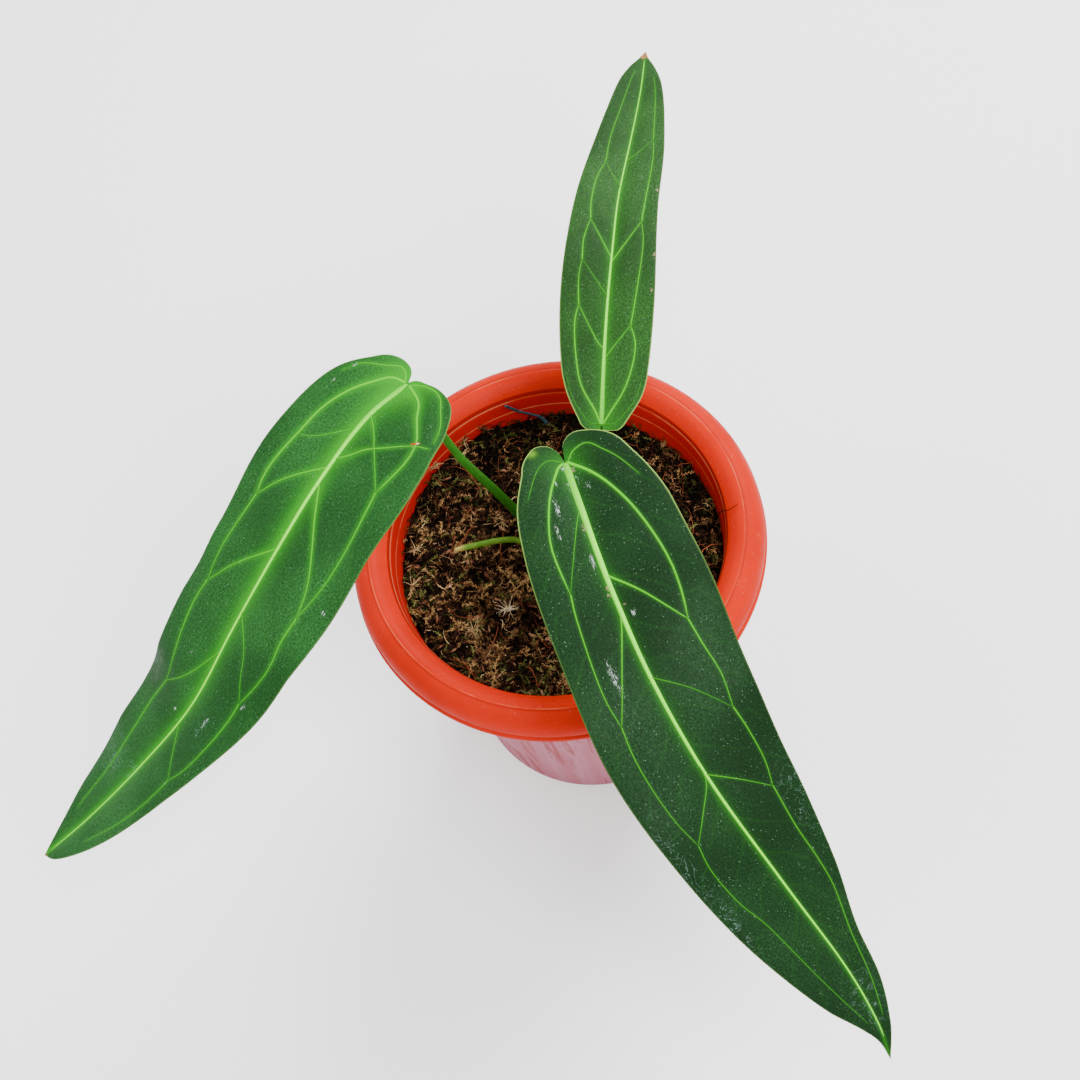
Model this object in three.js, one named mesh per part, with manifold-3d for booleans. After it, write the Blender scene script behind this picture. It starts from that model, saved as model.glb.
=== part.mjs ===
// A queen anthurium in its nursery pot, in millimetres, +Z up.
// The origin is the middle of the pot's underside. -Y is the front, where the longest leaf hangs over the
// rim.
import * as THREE from "three";
import { mergeVertices } from "three/addons/utils/BufferGeometryUtils.js";
import Module from "manifold-3d";

const wasm = await Module();
wasm.setup();

// Driving dimensions
const POT_HEIGHT = 160;
const RIM_RADIUS = 88;
const FOOT_RADIUS = 58.5;
const WALL = 2;
const SOIL_DEPTH = 22; // from the crown of the rim down to the soil
const LEAF_THICK = 0.9;
const CLEARANCE = 0.4; // between pieces that touch on the real plant
const ROUND_SEGMENTS = 48;
const LITTER_COUNT = 120;
const CROWN = new THREE.Vector2(2, -3); // where the stem comes out of the soil

// Sizes worked out from them
const SOIL_TOP = POT_HEIGHT - SOIL_DEPTH;
const RIM_INNER = RIM_RADIUS - 16;
const WALL_TOP_INNER = RIM_RADIUS - 17.3;
const FOOT_INNER = FOOT_RADIUS - WALL;
const FOOT_HEIGHT = 4;
const FLOOR_THICK = 2.5;
const FLOOR_TOP = FOOT_HEIGHT + FLOOR_THICK;
const STEM_TOP = SOIL_TOP + 8;
const STEM_FOOT = SOIL_TOP - 44;
const STEM_RADIUS = 6.5;

// A repeatable random number from 0 to 1
let seed = 90211;
function random() {
  seed = (seed * 1103515245 + 12345) % 2147483648;
  return seed / 2147483648;
}

function between(low, high) {
  return low + (high - low) * random();
}

// The inside radius of the pot's tapered wall at a height
function wallInside(z) {
  const share = (z - FLOOR_TOP) / (POT_HEIGHT - 9 - FLOOR_TOP);
  return FOOT_INNER + (WALL_TOP_INNER - FOOT_INNER) * share;
}

// A smooth value at t, through stations given as [t, value]
function through(stations, t) {
  const last = stations.length - 1;
  const at = Math.min(Math.max(t, stations[0][0]), stations[last][0]);
  let i = 0;
  while (i < last - 1 && at >= stations[i + 1][0]) i += 1;
  const slope = (k) => {
    const before = stations[Math.max(k - 1, 0)];
    const after = stations[Math.min(k + 1, last)];
    return (after[1] - before[1]) / (after[0] - before[0]);
  };
  const [x0, y0] = stations[i];
  const [x1, y1] = stations[i + 1];
  const h = x1 - x0;
  const k = (at - x0) / h;
  const rise = (2 * k ** 3 - 3 * k ** 2 + 1) * y0 + (3 * k ** 2 - 2 * k ** 3) * y1;
  const bend = (k ** 3 - 2 * k ** 2 + k) * h * slope(i) + (k ** 3 - k ** 2) * h * slope(i + 1);
  return rise + bend;
}

function curveOf(points) {
  const vectors = points.map((p) => new THREE.Vector3(...p));
  return new THREE.CatmullRomCurve3(vectors, false, "catmullrom", 0.5);
}

// A closed geometry from points and triangles, without the triangles that have shrunk to a line
function closedGeometry(points, triangles) {
  const flat = new THREE.BufferGeometry();
  const position = new Float32Array(points.flatMap((p) => [p.x, p.y, p.z]));
  flat.setAttribute("position", new THREE.BufferAttribute(position, 3));
  flat.setIndex(triangles);
  const merged = mergeVertices(flat, 1e-3);
  const kept = [];
  const index = merged.index.array;
  for (let i = 0; i < index.length; i += 3) {
    const [a, b, c] = [index[i], index[i + 1], index[i + 2]];
    if (a !== b && b !== c && c !== a) kept.push(a, b, c);
  }
  merged.setIndex(kept);
  return merged;
}

function solidOf(geometry) {
  const bare = geometry.clone();
  bare.deleteAttribute("normal");
  bare.deleteAttribute("uv");
  const merged = mergeVertices(bare, 1e-4);
  const mesh = new wasm.Mesh({
    numProp: 3,
    vertProperties: merged.attributes.position.array,
    triVerts: new Uint32Array(merged.index.array),
  });
  return new wasm.Manifold(mesh);
}

function geometryOf(solid) {
  const mesh = solid.getMesh();
  const geometry = new THREE.BufferGeometry();
  geometry.setAttribute("position", new THREE.BufferAttribute(mesh.vertProperties, 3));
  geometry.setIndex(new THREE.BufferAttribute(mesh.triVerts, 1));
  return geometry;
}

// A closed tube: rings of a few sides carried along a curve, with a radius that changes along it
function tube(points, radii, sides, steps, grow = 0, from = 0, to = 1) {
  const curve = curveOf(points);
  const vertices = [];
  const triangles = [];
  let side = new THREE.Vector3(1, 0, 0);
  for (let i = 0; i <= steps; i += 1) {
    const share = from + ((to - from) * i) / steps;
    const centre = curve.getPointAt(share);
    const along = curve.getTangentAt(share);
    if (i === 0 && Math.abs(along.x) > 0.9) side = new THREE.Vector3(0, 1, 0);
    side = side.clone().addScaledVector(along, -side.dot(along)).normalize();
    const up = new THREE.Vector3().crossVectors(along, side);
    const radius = through(radii, share) + grow;
    for (let j = 0; j < sides; j += 1) {
      const angle = (2 * Math.PI * j) / sides;
      const point = centre.clone().addScaledVector(side, radius * Math.cos(angle));
      vertices.push(point.addScaledVector(up, radius * Math.sin(angle)));
    }
  }
  for (let i = 0; i < steps; i += 1) {
    for (let j = 0; j < sides; j += 1) {
      const a = i * sides + j;
      const b = i * sides + ((j + 1) % sides);
      triangles.push(a, b, b + sides, a, b + sides, a + sides);
    }
  }
  const last = steps * sides;
  for (let j = 1; j < sides - 1; j += 1) {
    triangles.push(0, j + 1, j);
    triangles.push(last, last + j, last + j + 1);
  }
  return closedGeometry(vertices, triangles);
}

// A body of revolution about the pot's axis, from a closed outline of [radius, height]
function turned(outline, segments = ROUND_SEGMENTS) {
  const points = outline.map(([r, z]) => new THREE.Vector2(r, z));
  const geometry = new THREE.LatheGeometry(points, segments);
  geometry.rotateX(Math.PI / 2);
  geometry.deleteAttribute("normal");
  geometry.deleteAttribute("uv");
  const merged = mergeVertices(geometry, 1e-3);
  const position = merged.attributes.position;
  const vertices = [];
  for (let i = 0; i < position.count; i += 1) {
    vertices.push(new THREE.Vector3().fromBufferAttribute(position, i));
  }
  return closedGeometry(vertices, Array.from(merged.index.array));
}

// The pot: one moulded shell with a rolled rim over an open channel, a foot ring, a centre pad and drain
// holes
const WALL_TOP = POT_HEIGHT - 9;
const DRAIN_COUNT = 8;
const DRAIN_RADIUS = 5;
const DRAIN_REACH = 33; // from the pot's axis to a drain hole's

function pot() {
  const skirt = POT_HEIGHT - 14;
  const outside = (z) => wallInside(z) + WALL;
  const outline = [
    [0, 0],
    [13, 0],
    [14, FOOT_HEIGHT],
    [FOOT_RADIUS - 6, FOOT_HEIGHT],
    [FOOT_RADIUS - 5, 0],
    [FOOT_RADIUS - 1, 0],
    [FOOT_RADIUS, 1.2],
    [outside(40), 40],
    [outside(90), 90],
    [outside(WALL_TOP), WALL_TOP],
    [RIM_INNER + 3.4, POT_HEIGHT - 5.2],
    [RIM_RADIUS - 8.5, POT_HEIGHT - 2.4],
    [RIM_RADIUS - 3.8, POT_HEIGHT - 6.4],
    [RIM_RADIUS - 2.5, skirt],
    [RIM_RADIUS - 0.9, skirt - 0.6],
    [RIM_RADIUS, skirt + 0.8],
    [RIM_RADIUS - 0.2, skirt + 2.2],
    [RIM_RADIUS - 0.7, skirt + 3.1],
    [RIM_RADIUS - 0.5, POT_HEIGHT - 8],
    [RIM_RADIUS - 2.2, POT_HEIGHT - 4.2],
    [RIM_RADIUS - 5.2, POT_HEIGHT - 1.2],
    [RIM_RADIUS - 8.5, POT_HEIGHT],
    [RIM_RADIUS - 12.5, POT_HEIGHT - 0.9],
    [RIM_INNER, POT_HEIGHT - 4],
    [RIM_INNER - 0.9, POT_HEIGHT - 6.2],
    [WALL_TOP_INNER, WALL_TOP],
    [wallInside(90), 90],
    [wallInside(40), 40],
    [FOOT_INNER, FLOOR_TOP],
    [0, FLOOR_TOP],
  ];
  let solid = solidOf(turned(outline));
  const drain = new THREE.CylinderGeometry(DRAIN_RADIUS, DRAIN_RADIUS, 4 * FLOOR_THICK, 12);
  drain.rotateX(Math.PI / 2);
  for (let i = 0; i < DRAIN_COUNT; i += 1) {
    const angle = (2 * Math.PI * (i + 0.5)) / DRAIN_COUNT;
    const x = DRAIN_REACH * Math.cos(angle);
    const y = DRAIN_REACH * Math.sin(angle);
    const hole = drain.clone();
    hole.translate(x, y, FOOT_HEIGHT + FLOOR_THICK / 2);
    solid = solid.subtract(solidOf(hole));
  }
  return geometryOf(solid);
}

// The leaves. Widths are half-widths in mm at fractions of the blade's length, seen from the petiole towards
// the tip. A lobe is the outline behind the petiole, as [angle from straight back, distance] from there.
const LEAVES = {
  front: {
    midrib: [
      [11, -14, 236],
      [14, -42, 240],
      [16, -70, 237],
      [21, -104, 226],
      [31, -137, 205],
      [46, -171, 176],
      [59, -201, 149],
      [65, -221, 132],
      [66, -233, 121],
    ],
    roll: -3,
    right: [
      [0, 16.8],
      [0.06, 24],
      [0.12, 27.2],
      [0.2, 28.6],
      [0.3, 29.5],
      [0.42, 31.8],
      [0.55, 31.1],
      [0.68, 28.3],
      [0.8, 21.6],
      [0.88, 14.9],
      [0.94, 6],
      [0.97, 2],
      [1, 0],
    ],
    left: [
      [0, 23],
      [0.06, 27.4],
      [0.12, 30.6],
      [0.25, 33],
      [0.4, 30.4],
      [0.55, 25.9],
      [0.7, 18.7],
      [0.8, 11.4],
      [0.88, 8.5],
      [0.94, 4.6],
      [0.97, 2.2],
      [1, 0],
    ],
    rightLobe: [
      [12, 5],
      [20, 9.8],
      [30, 13],
      [40, 14.7],
      [60, 15.3],
      [90, 16.8],
    ],
    leftLobe: [
      [8, 8],
      [14, 11],
      [26, 14.3],
      [48, 16.3],
      [66, 18.8],
      [90, 23],
    ],
    petiole: [
      [6, -6.5, SOIL_TOP + 2],
      [9, -8, SOIL_TOP + 22],
      [12, -7, SOIL_TOP + 52],
      [12.5, -8.5, SOIL_TOP + 82],
    ],
  },
  left: {
    midrib: [
      [-38, 30, 250],
      [-58, 21, 249.5],
      [-82, 3, 243.5],
      [-104, -15.5, 234],
      [-127, -32, 218.5],
      [-153, -48, 198],
      [-183, -57, 176.5],
      [-212, -63.5, 156.5],
      [-237, -69, 141],
    ],
    roll: -8,
    right: [
      [0, 18.8],
      [0.06, 27],
      [0.12, 30.2],
      [0.25, 29.6],
      [0.35, 29.2],
      [0.45, 30.4],
      [0.6, 29.6],
      [0.7, 26],
      [0.8, 20],
      [0.88, 13],
      [0.94, 6.4],
      [1, 0],
    ],
    left: [
      [0, 27.8],
      [0.03, 34.2],
      [0.08, 38.8],
      [0.14, 39.4],
      [0.25, 39.4],
      [0.4, 37.4],
      [0.5, 33.3],
      [0.6, 28.7],
      [0.7, 24],
      [0.8, 20.6],
      [0.88, 15.7],
      [0.94, 10.4],
      [0.98, 5.2],
      [1, 0],
    ],
    rightLobe: [
      [20, 2],
      [31, 5.5],
      [56, 11],
      [75, 15.5],
      [90, 18.8],
    ],
    leftLobe: [
      [20, 2],
      [55, 8],
      [68, 16],
      [79, 23],
      [90, 27.8],
    ],
    petiole: [
      [-3.5, 2.5, SOIL_TOP + 2],
      [-12, 15, SOIL_TOP + 15.5],
      [-20, 20, SOIL_TOP + 37],
      [-28.2, 24, SOIL_TOP + 60],
      [-34.5, 28, SOIL_TOP + 90],
    ],
  },
  back: {
    midrib: [
      [29, 6, 222],
      [36, 25, 231.5],
      [44, 47, 237.5],
      [53, 71, 240.5],
      [62, 95, 240],
      [74, 122, 237],
      [86, 152, 229.5],
      [96, 182, 220],
    ],
    roll: -5,
    right: [
      [0, 9],
      [0.06, 15.6],
      [0.12, 17.6],
      [0.25, 18.4],
      [0.4, 17.1],
      [0.6, 15.3],
      [0.75, 12],
      [0.87, 8.4],
      [0.93, 5],
      [0.97, 1.8],
      [1, 0],
    ],
    left: [
      [0, 8.3],
      [0.06, 13.9],
      [0.12, 16.7],
      [0.25, 18.7],
      [0.4, 18.4],
      [0.6, 15.5],
      [0.75, 12.8],
      [0.87, 9.8],
      [0.93, 6.2],
      [0.97, 2.4],
      [1, 0],
    ],
    rightLobe: [
      [20, 2],
      [59, 4.5],
      [72, 6.8],
      [90, 9],
    ],
    leftLobe: [
      [20, 2],
      [36, 3],
      [60, 5.2],
      [90, 8.3],
    ],
    petiole: [
      [5.5, 1.5, SOIL_TOP + 2],
      [12, 6, SOIL_TOP + 22],
      [21, 10, SOIL_TOP + 48],
      [28, 12, SOIL_TOP + 68],
    ],
  },
};
const FOLD = [
  [0, 12],
  [0.3, 10],
  [1, 6],
]; // degrees that each half rises from the midrib, along the leaf
const CURL_RADIUS = 100; // each half bends back down towards its margin
const LOBE_DROP = 0.01; // how fast the lobes sink behind the petiole, per mm
const RIDGE_ABOVE = 0.6; // how far the midrib stands out of the blade
const RIDGE_BELOW = 1.4;
const WAVE_HEIGHT = 0.8;
const WAVE_LENGTH = 46;

// One leaf as a surface: place(q, w, side) gives the point q along the midrib and w across it, on the right
// (side 1) or the left (side -1), with the normal there. On the midrib itself both sides share one normal.
function leafSurface(leaf) {
  const curve = curveOf(leaf.midrib);
  curve.arcLengthDivisions = 400;
  const length = curve.getLength();
  const place = (q, w, side) => {
    const share = Math.min(Math.max(q / length, 0), 1);
    const centre = curve.getPointAt(share);
    const along = curve.getTangentAt(share);
    const level = new THREE.Vector3().crossVectors(along, new THREE.Vector3(0, 0, 1)).normalize();
    const above = new THREE.Vector3().crossVectors(level, along);
    const roll = THREE.MathUtils.degToRad(leaf.roll);
    const across = level.clone().multiplyScalar(Math.cos(roll)).addScaledVector(above, Math.sin(roll));
    const up = above.clone().multiplyScalar(Math.cos(roll)).addScaledVector(level, -Math.sin(roll));
    const behind = Math.min(q, 0);
    const fold = THREE.MathUtils.degToRad(through(FOLD, share));
    const turn = fold - w / CURL_RADIUS;
    const out = CURL_RADIUS * (Math.sin(fold) - Math.sin(turn));
    const wave = WAVE_HEIGHT * Math.sin((2 * Math.PI * q) / WAVE_LENGTH + side) * Math.min(w / 30, 1) ** 2;
    const rise = CURL_RADIUS * (Math.cos(turn) - Math.cos(fold)) + wave - LOBE_DROP * behind ** 2;
    const point = centre.clone().addScaledVector(along, behind);
    point.addScaledVector(across, side * out).addScaledVector(up, rise);
    const normal = up.clone().multiplyScalar(Math.cos(turn)).addScaledVector(across, -side * Math.sin(turn));
    return { point, normal: w > 0 ? normal : up };
  };
  return { length, place };
}

// The margin of one side, row by row: [start of the row on the midrib, margin q, margin w]. Rows fan out round
// the petiole over the lobe, then march along the midrib to the tip.
function marginRows(widths, lobe, length, fanRows, bodyRows) {
  const rows = [];
  for (let i = 0; i < fanRows; i += 1) {
    const angle = lobe[0][0] + ((90 - lobe[0][0]) * i) / fanRows;
    const reach = through(lobe, angle);
    const turn = THREE.MathUtils.degToRad(angle);
    rows.push([0, -reach * Math.cos(turn), reach * Math.sin(turn)]);
  }
  for (let i = 0; i <= bodyRows; i += 1) {
    const share = i / bodyRows;
    const q = share * length;
    rows.push([q, q, through(widths, share)]);
  }
  return rows;
}

// The blade: two halves whose upper and lower faces are split alike, with a raised midrib
function blade(leaf) {
  const { length, place } = leafSurface(leaf);
  const columns = [0, 0.08, 0.3, 0.55, 0.8, 1];
  const vertices = [];
  const triangles = [];
  for (const side of [1, -1]) {
    const widths = side > 0 ? leaf.right : leaf.left;
    const lobe = side > 0 ? leaf.rightLobe : leaf.leftLobe;
    const rows = marginRows(widths, lobe, length, 6, 26);
    const first = vertices.length;
    for (const [start, q, w] of rows) {
      columns.forEach((share, column) => {
        const { point, normal } = place(start + (q - start) * share, w * share, side);
        const ridge = column === 0 ? Math.max(1 - start / length, 0.15) : 0;
        vertices.push(point.clone().addScaledVector(normal, LEAF_THICK / 2 + RIDGE_ABOVE * ridge));
        vertices.push(point.clone().addScaledVector(normal, -LEAF_THICK / 2 - RIDGE_BELOW * ridge));
      });
    }
    const at = (row, column, under) => first + (row * columns.length + column) * 2 + under;
    const face = (a, b, c) => (side > 0 ? triangles.push(a, b, c) : triangles.push(a, c, b));
    for (let i = 0; i < rows.length - 1; i += 1) {
      for (let j = 0; j < columns.length - 1; j += 1) {
        face(at(i, j, 0), at(i, j + 1, 0), at(i + 1, j + 1, 0));
        face(at(i, j, 0), at(i + 1, j + 1, 0), at(i + 1, j, 0));
        face(at(i, j, 1), at(i + 1, j + 1, 1), at(i, j + 1, 1));
        face(at(i, j, 1), at(i + 1, j, 1), at(i + 1, j + 1, 1));
      }
      const edge = columns.length - 1;
      face(at(i, edge, 0), at(i, edge, 1), at(i + 1, edge, 1));
      face(at(i, edge, 0), at(i + 1, edge, 1), at(i + 1, edge, 0));
    }
    for (let j = 0; j < columns.length - 1; j += 1) {
      face(at(0, j, 0), at(0, j, 1), at(0, j + 1, 1));
      face(at(0, j, 0), at(0, j + 1, 1), at(0, j + 1, 0));
    }
  }
  return closedGeometry(vertices, triangles);
}

// A petiole: thick where it leaves the crown, slim above, with a swollen joint under the blade
const PETIOLE_RADII = [
  [0, 3.4],
  [0.12, 2.6],
  [0.4, 2.1],
  [0.86, 1.75],
  [0.93, 2.2],
  [0.98, 2.2],
  [1, 1.6],
];
const SHEATH_SHARE = 0.09; // the first part of each petiole belongs to the crown
const SHEATH_THICK = 0.5;

// The petiole's route ends just under the blade, where the midrib starts
function petioleRoute(leaf) {
  const { point, normal } = leafSurface(leaf).place(0, 0, 1);
  const under = LEAF_THICK / 2 + RIDGE_BELOW + 2 * CLEARANCE;
  return [...leaf.petiole, point.addScaledVector(normal, -under).toArray()];
}

function petiole(leaf) {
  const route = petioleRoute(leaf);
  const start = SHEATH_SHARE + CLEARANCE / curveOf(route).getLength();
  return tube(route, PETIOLE_RADII, 10, 24, 0, start, 1);
}

// The stem: a short upright stock with leaf scars, the sheaths of the three petioles and the main roots
const ROOTS = [
  [15, 34, 66],
  [75, 42, 52],
  [140, 36, 78],
  [200, 44, 60],
  [265, 38, 46],
  [320, 41, 72],
]; // heading in degrees, reach and lowest height

function stem(grow) {
  const outline = [[0, STEM_FOOT - grow]];
  const rings = 4;
  for (let i = 0; i <= rings; i += 1) {
    const z = STEM_FOOT + ((STEM_TOP - 3 - STEM_FOOT) * i) / rings;
    outline.push([STEM_RADIUS - 1.2 + grow, z - (i ? 1.6 : grow)]);
    outline.push([STEM_RADIUS + grow, z]);
  }
  outline.push([STEM_RADIUS - 2.5 + grow, STEM_TOP + grow], [0, STEM_TOP + grow]);
  const stock = turned(outline, 12);
  stock.translate(CROWN.x, CROWN.y, 0);
  let solid = solidOf(stock);
  for (const [heading, reach, low] of ROOTS) {
    const angle = THREE.MathUtils.degToRad(heading);
    const step = (out, z, swing) => [
      CROWN.x + out * Math.cos(angle + swing),
      CROWN.y + out * Math.sin(angle + swing),
      z,
    ];
    const top = SOIL_TOP - 18 - reach / 4;
    const route = [step(2, top, 0), step(14, top - 4, 0.1)];
    route.push(step(reach * 0.7, (top + low) / 2, -0.1), step(reach, low, 0.1));
    const radii = [
      [0, 2.4],
      [1, 1.3],
    ];
    const far = grow ? 1 : 1 - CLEARANCE / curveOf(route).getLength();
    solid = solid.add(solidOf(tube(route, radii, 5, 6, grow, 0, far)));
  }
  for (const leaf of Object.values(LEAVES)) {
    const sheath = tube(petioleRoute(leaf), PETIOLE_RADII, 10, 3, SHEATH_THICK + grow, 0, SHEATH_SHARE);
    solid = solid.add(solidOf(sheath));
  }
  return solid;
}

const AERIAL_ROOT = [
  [CROWN.x - STEM_RADIUS - CLEARANCE - 0.2, CROWN.y, SOIL_TOP + 2.6],
  [-11, 3, SOIL_TOP + 5.8],
  [-16.5, 7.6, SOIL_TOP + 8.6],
  [-25, 9.2, SOIL_TOP + 10],
  [-34, 9.4, SOIL_TOP + 11],
  [-43, 9.5, SOIL_TOP + 12],
];
const AERIAL_ROOT_RADII = [
  [0, 1.6],
  [0.25, 1.35],
  [0.75, 1.25],
  [0.93, 1.1],
  [1, 0.4],
];
const TIE = [
  [-5.3, 68.8, SOIL_TOP + 16.7],
  [0, 68.2, SOIL_TOP + 10],
  [4.2, 67.4, SOIL_TOP + 6.9],
  [8.6, 66.3, SOIL_TOP + 3],
  [11, 64.5, SOIL_TOP - 3],
];
const TIE_RADII = [
  [0, 1.1],
  [1, 1.1],
];

// Height of the soil at a place: a low mound round the crown, with hollows and lumps
function soilHeight(x, y) {
  const radius = Math.hypot(x, y);
  const mound = 1.6 * Math.exp(-((radius / 30) ** 2)) + 1.4 * (radius / 70) ** 4;
  const lumps = 0.9 * Math.sin(0.17 * x + 1.3) * Math.cos(0.15 * y) + 0.7 * Math.sin(0.33 * x - 0.27 * y);
  return SOIL_TOP - 1 + mound + lumps;
}

// The growing medium: a plug that fills the pot, its lumpy top covered with bark chips, root fibres and
// moss
function growingMedium() {
  const rings = [0, 13, 26, 39, 52, 62, wallInside(SOIL_TOP) - CLEARANCE];
  const vertices = [new THREE.Vector3(0, 0, soilHeight(0, 0))];
  const triangles = [];
  const ringAt = (radius, z) => {
    const first = vertices.length;
    for (let j = 0; j < ROUND_SEGMENTS; j += 1) {
      const angle = (2 * Math.PI * j) / ROUND_SEGMENTS;
      const x = radius * Math.sin(angle);
      const y = -radius * Math.cos(angle);
      vertices.push(new THREE.Vector3(x, y, z ?? soilHeight(x, y)));
    }
    return first;
  };
  const starts = rings.slice(1).map((radius) => ringAt(radius));
  for (const z of [FLOOR_TOP + CLEARANCE]) starts.push(ringAt(wallInside(z) - CLEARANCE, z));
  vertices.push(new THREE.Vector3(0, 0, FLOOR_TOP + CLEARANCE));
  const bottom = vertices.length - 1;
  const lowest = starts[starts.length - 1];
  for (let j = 0; j < ROUND_SEGMENTS; j += 1) {
    const next = (j + 1) % ROUND_SEGMENTS;
    triangles.push(0, starts[0] + j, starts[0] + next);
    for (let k = 0; k < starts.length - 1; k += 1) {
      triangles.push(starts[k] + j, starts[k + 1] + j, starts[k + 1] + next);
      triangles.push(starts[k] + j, starts[k + 1] + next, starts[k] + next);
    }
    triangles.push(bottom, lowest + next, lowest + j);
  }
  const pieces = [solidOf(closedGeometry(vertices, triangles))];
  for (let i = 0; i < LITTER_COUNT; i += 1) {
    const farthest = i % 4 < 2 ? 58 : 65;
    const radius = Math.sqrt(between(0.03, 1)) * farthest;
    const angle = between(0, 2 * Math.PI);
    const x = radius * Math.cos(angle);
    const y = radius * Math.sin(angle);
    const nearTie = Math.hypot(x - TIE[2][0], y - TIE[2][1]) < 16;
    if (nearTie) continue;
    pieces.push(solidOf(litter(x, y, i)));
  }
  let medium = wasm.Manifold.union(pieces);
  const hollows = [stem(CLEARANCE)];
  hollows.push(solidOf(tube(TIE, TIE_RADII, 6, 8, CLEARANCE)));
  hollows.push(solidOf(tube(AERIAL_ROOT, AERIAL_ROOT_RADII, 8, 12, CLEARANCE)));
  for (const leaf of Object.values(LEAVES)) {
    const buried = tube(petioleRoute(leaf), PETIOLE_RADII, 10, 4, CLEARANCE, 0, SHEATH_SHARE * 2);
    hollows.push(solidOf(buried));
  }
  medium = medium.subtract(wasm.Manifold.union(hollows));
  const bodies = medium.decompose();
  bodies.sort((a, b) => b.volume() - a.volume());
  return geometryOf(bodies[0]);
}

// One bit of the soil's surface, its root sunk well in: a bark chip, a curved fibre or a moss sprig
function litter(x, y, number) {
  const z = soilHeight(x, y);
  const heading = between(0, 2 * Math.PI);
  if (number % 4 === 0) {
    const chip = new THREE.BoxGeometry(between(5, 11), between(2, 4.5), between(3, 4.5));
    chip.rotateX(between(-0.5, 0.5));
    chip.rotateY(between(-0.35, 0.35));
    chip.rotateZ(heading);
    chip.translate(x, y, z + 0.2);
    return chip;
  }
  if (number % 4 === 1) {
    const half = between(5, 10);
    const reach = (share, lift) => [
      x + share * half * Math.cos(heading + 0.4 * share),
      y + share * half * Math.sin(heading + 0.4 * share),
      z + lift,
    ];
    const route = [reach(-1, -3.4), reach(-0.5, 0.6), reach(0.2, 1.3), reach(1, -3.4)];
    const even = [
      [0, 0.8],
      [1, 0.8],
    ];
    return tube(route, even, 3, 4);
  }
  const lean = between(1, 4);
  const root = [x - lean * Math.cos(heading), y - lean * Math.sin(heading), z - 3];
  const tip = [x + lean * Math.cos(heading), y + lean * Math.sin(heading), z + between(2.5, 4.5)];
  const tapered = [
    [0, 1.8],
    [1, 0.4],
  ];
  return tube([root, tip], tapered, 3, 1);
}

// Materials
function material(color, roughness) {
  return new THREE.MeshStandardMaterial({ color, roughness, metalness: 0 });
}
const materials = {
  pot: material("#c8421f", 0.5),
  soil: material("#3a2317", 0.95),
  stem: material("#7c6b3a", 0.8),
  petiole: material("#55902a", 0.5),
  blade: material("#23652c", 0.5),
  root: material("#8a9c45", 0.6),
  tie: material("#4c6a78", 0.6),
};

const plant = new THREE.Group();
function addPiece(name, geometry, finish) {
  const mesh = new THREE.Mesh(geometry, finish);
  mesh.name = name;
  plant.add(mesh);
}

addPiece("pot", pot(), materials.pot);
addPiece("growing_medium", growingMedium(), materials.soil);
addPiece("stem", geometryOf(stem(0)), materials.stem);
for (const [name, leaf] of Object.entries(LEAVES)) {
  addPiece("petiole_" + name, petiole(leaf), materials.petiole);
  addPiece("leaf_" + name, blade(leaf), materials.blade);
}
addPiece("aerial_root", tube(AERIAL_ROOT, AERIAL_ROOT_RADII, 8, 12), materials.root);
addPiece("plant_tie", tube(TIE, TIE_RADII, 6, 8), materials.tie);

export default plant;
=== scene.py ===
"""A queen anthurium in its nursery pot: the finished surfaces, laid round the frame of the solid model.

Shapes are surfaces of two parameters, worked out as whole arrays in millimetres and put into meshes in
metres. The frame gives the pot's main sizes, and the leaves follow the outlines of the solid model.
"""

import bpy
import numpy as np
from bpy.props import FloatProperty, FloatVectorProperty, IntProperty, PointerProperty
from mathutils import Matrix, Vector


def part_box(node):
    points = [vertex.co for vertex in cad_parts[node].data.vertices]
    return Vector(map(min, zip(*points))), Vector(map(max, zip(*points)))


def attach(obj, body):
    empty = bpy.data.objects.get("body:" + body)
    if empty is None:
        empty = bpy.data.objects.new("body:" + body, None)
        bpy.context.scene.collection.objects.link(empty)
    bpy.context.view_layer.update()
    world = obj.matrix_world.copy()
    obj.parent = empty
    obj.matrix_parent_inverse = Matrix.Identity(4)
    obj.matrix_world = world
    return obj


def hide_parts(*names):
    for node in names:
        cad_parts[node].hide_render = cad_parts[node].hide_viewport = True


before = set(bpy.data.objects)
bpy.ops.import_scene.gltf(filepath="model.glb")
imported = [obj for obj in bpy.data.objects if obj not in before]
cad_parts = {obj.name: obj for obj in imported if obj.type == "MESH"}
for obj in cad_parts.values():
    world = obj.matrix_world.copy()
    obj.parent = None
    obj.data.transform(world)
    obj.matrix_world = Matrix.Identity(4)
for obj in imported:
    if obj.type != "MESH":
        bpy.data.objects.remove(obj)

bl_info = {
    "name": "Potted Queen Anthurium",
    "version": (1, 0, 0),
    "blender": (4, 5, 0),
    "location": "3D View > Sidebar > Anthurium",
    "description": "Builds the pot, the growing medium, the leaves and the stage of a potted anthurium",
    "category": "Add Mesh",
}

MM = 0.001
UP = np.array([0.0, 0.0, 1.0])

# A direction that few routes take: the rings of a round tube start square to it
ODD_WAY = (0.31, 0.17, 0.93)

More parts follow.
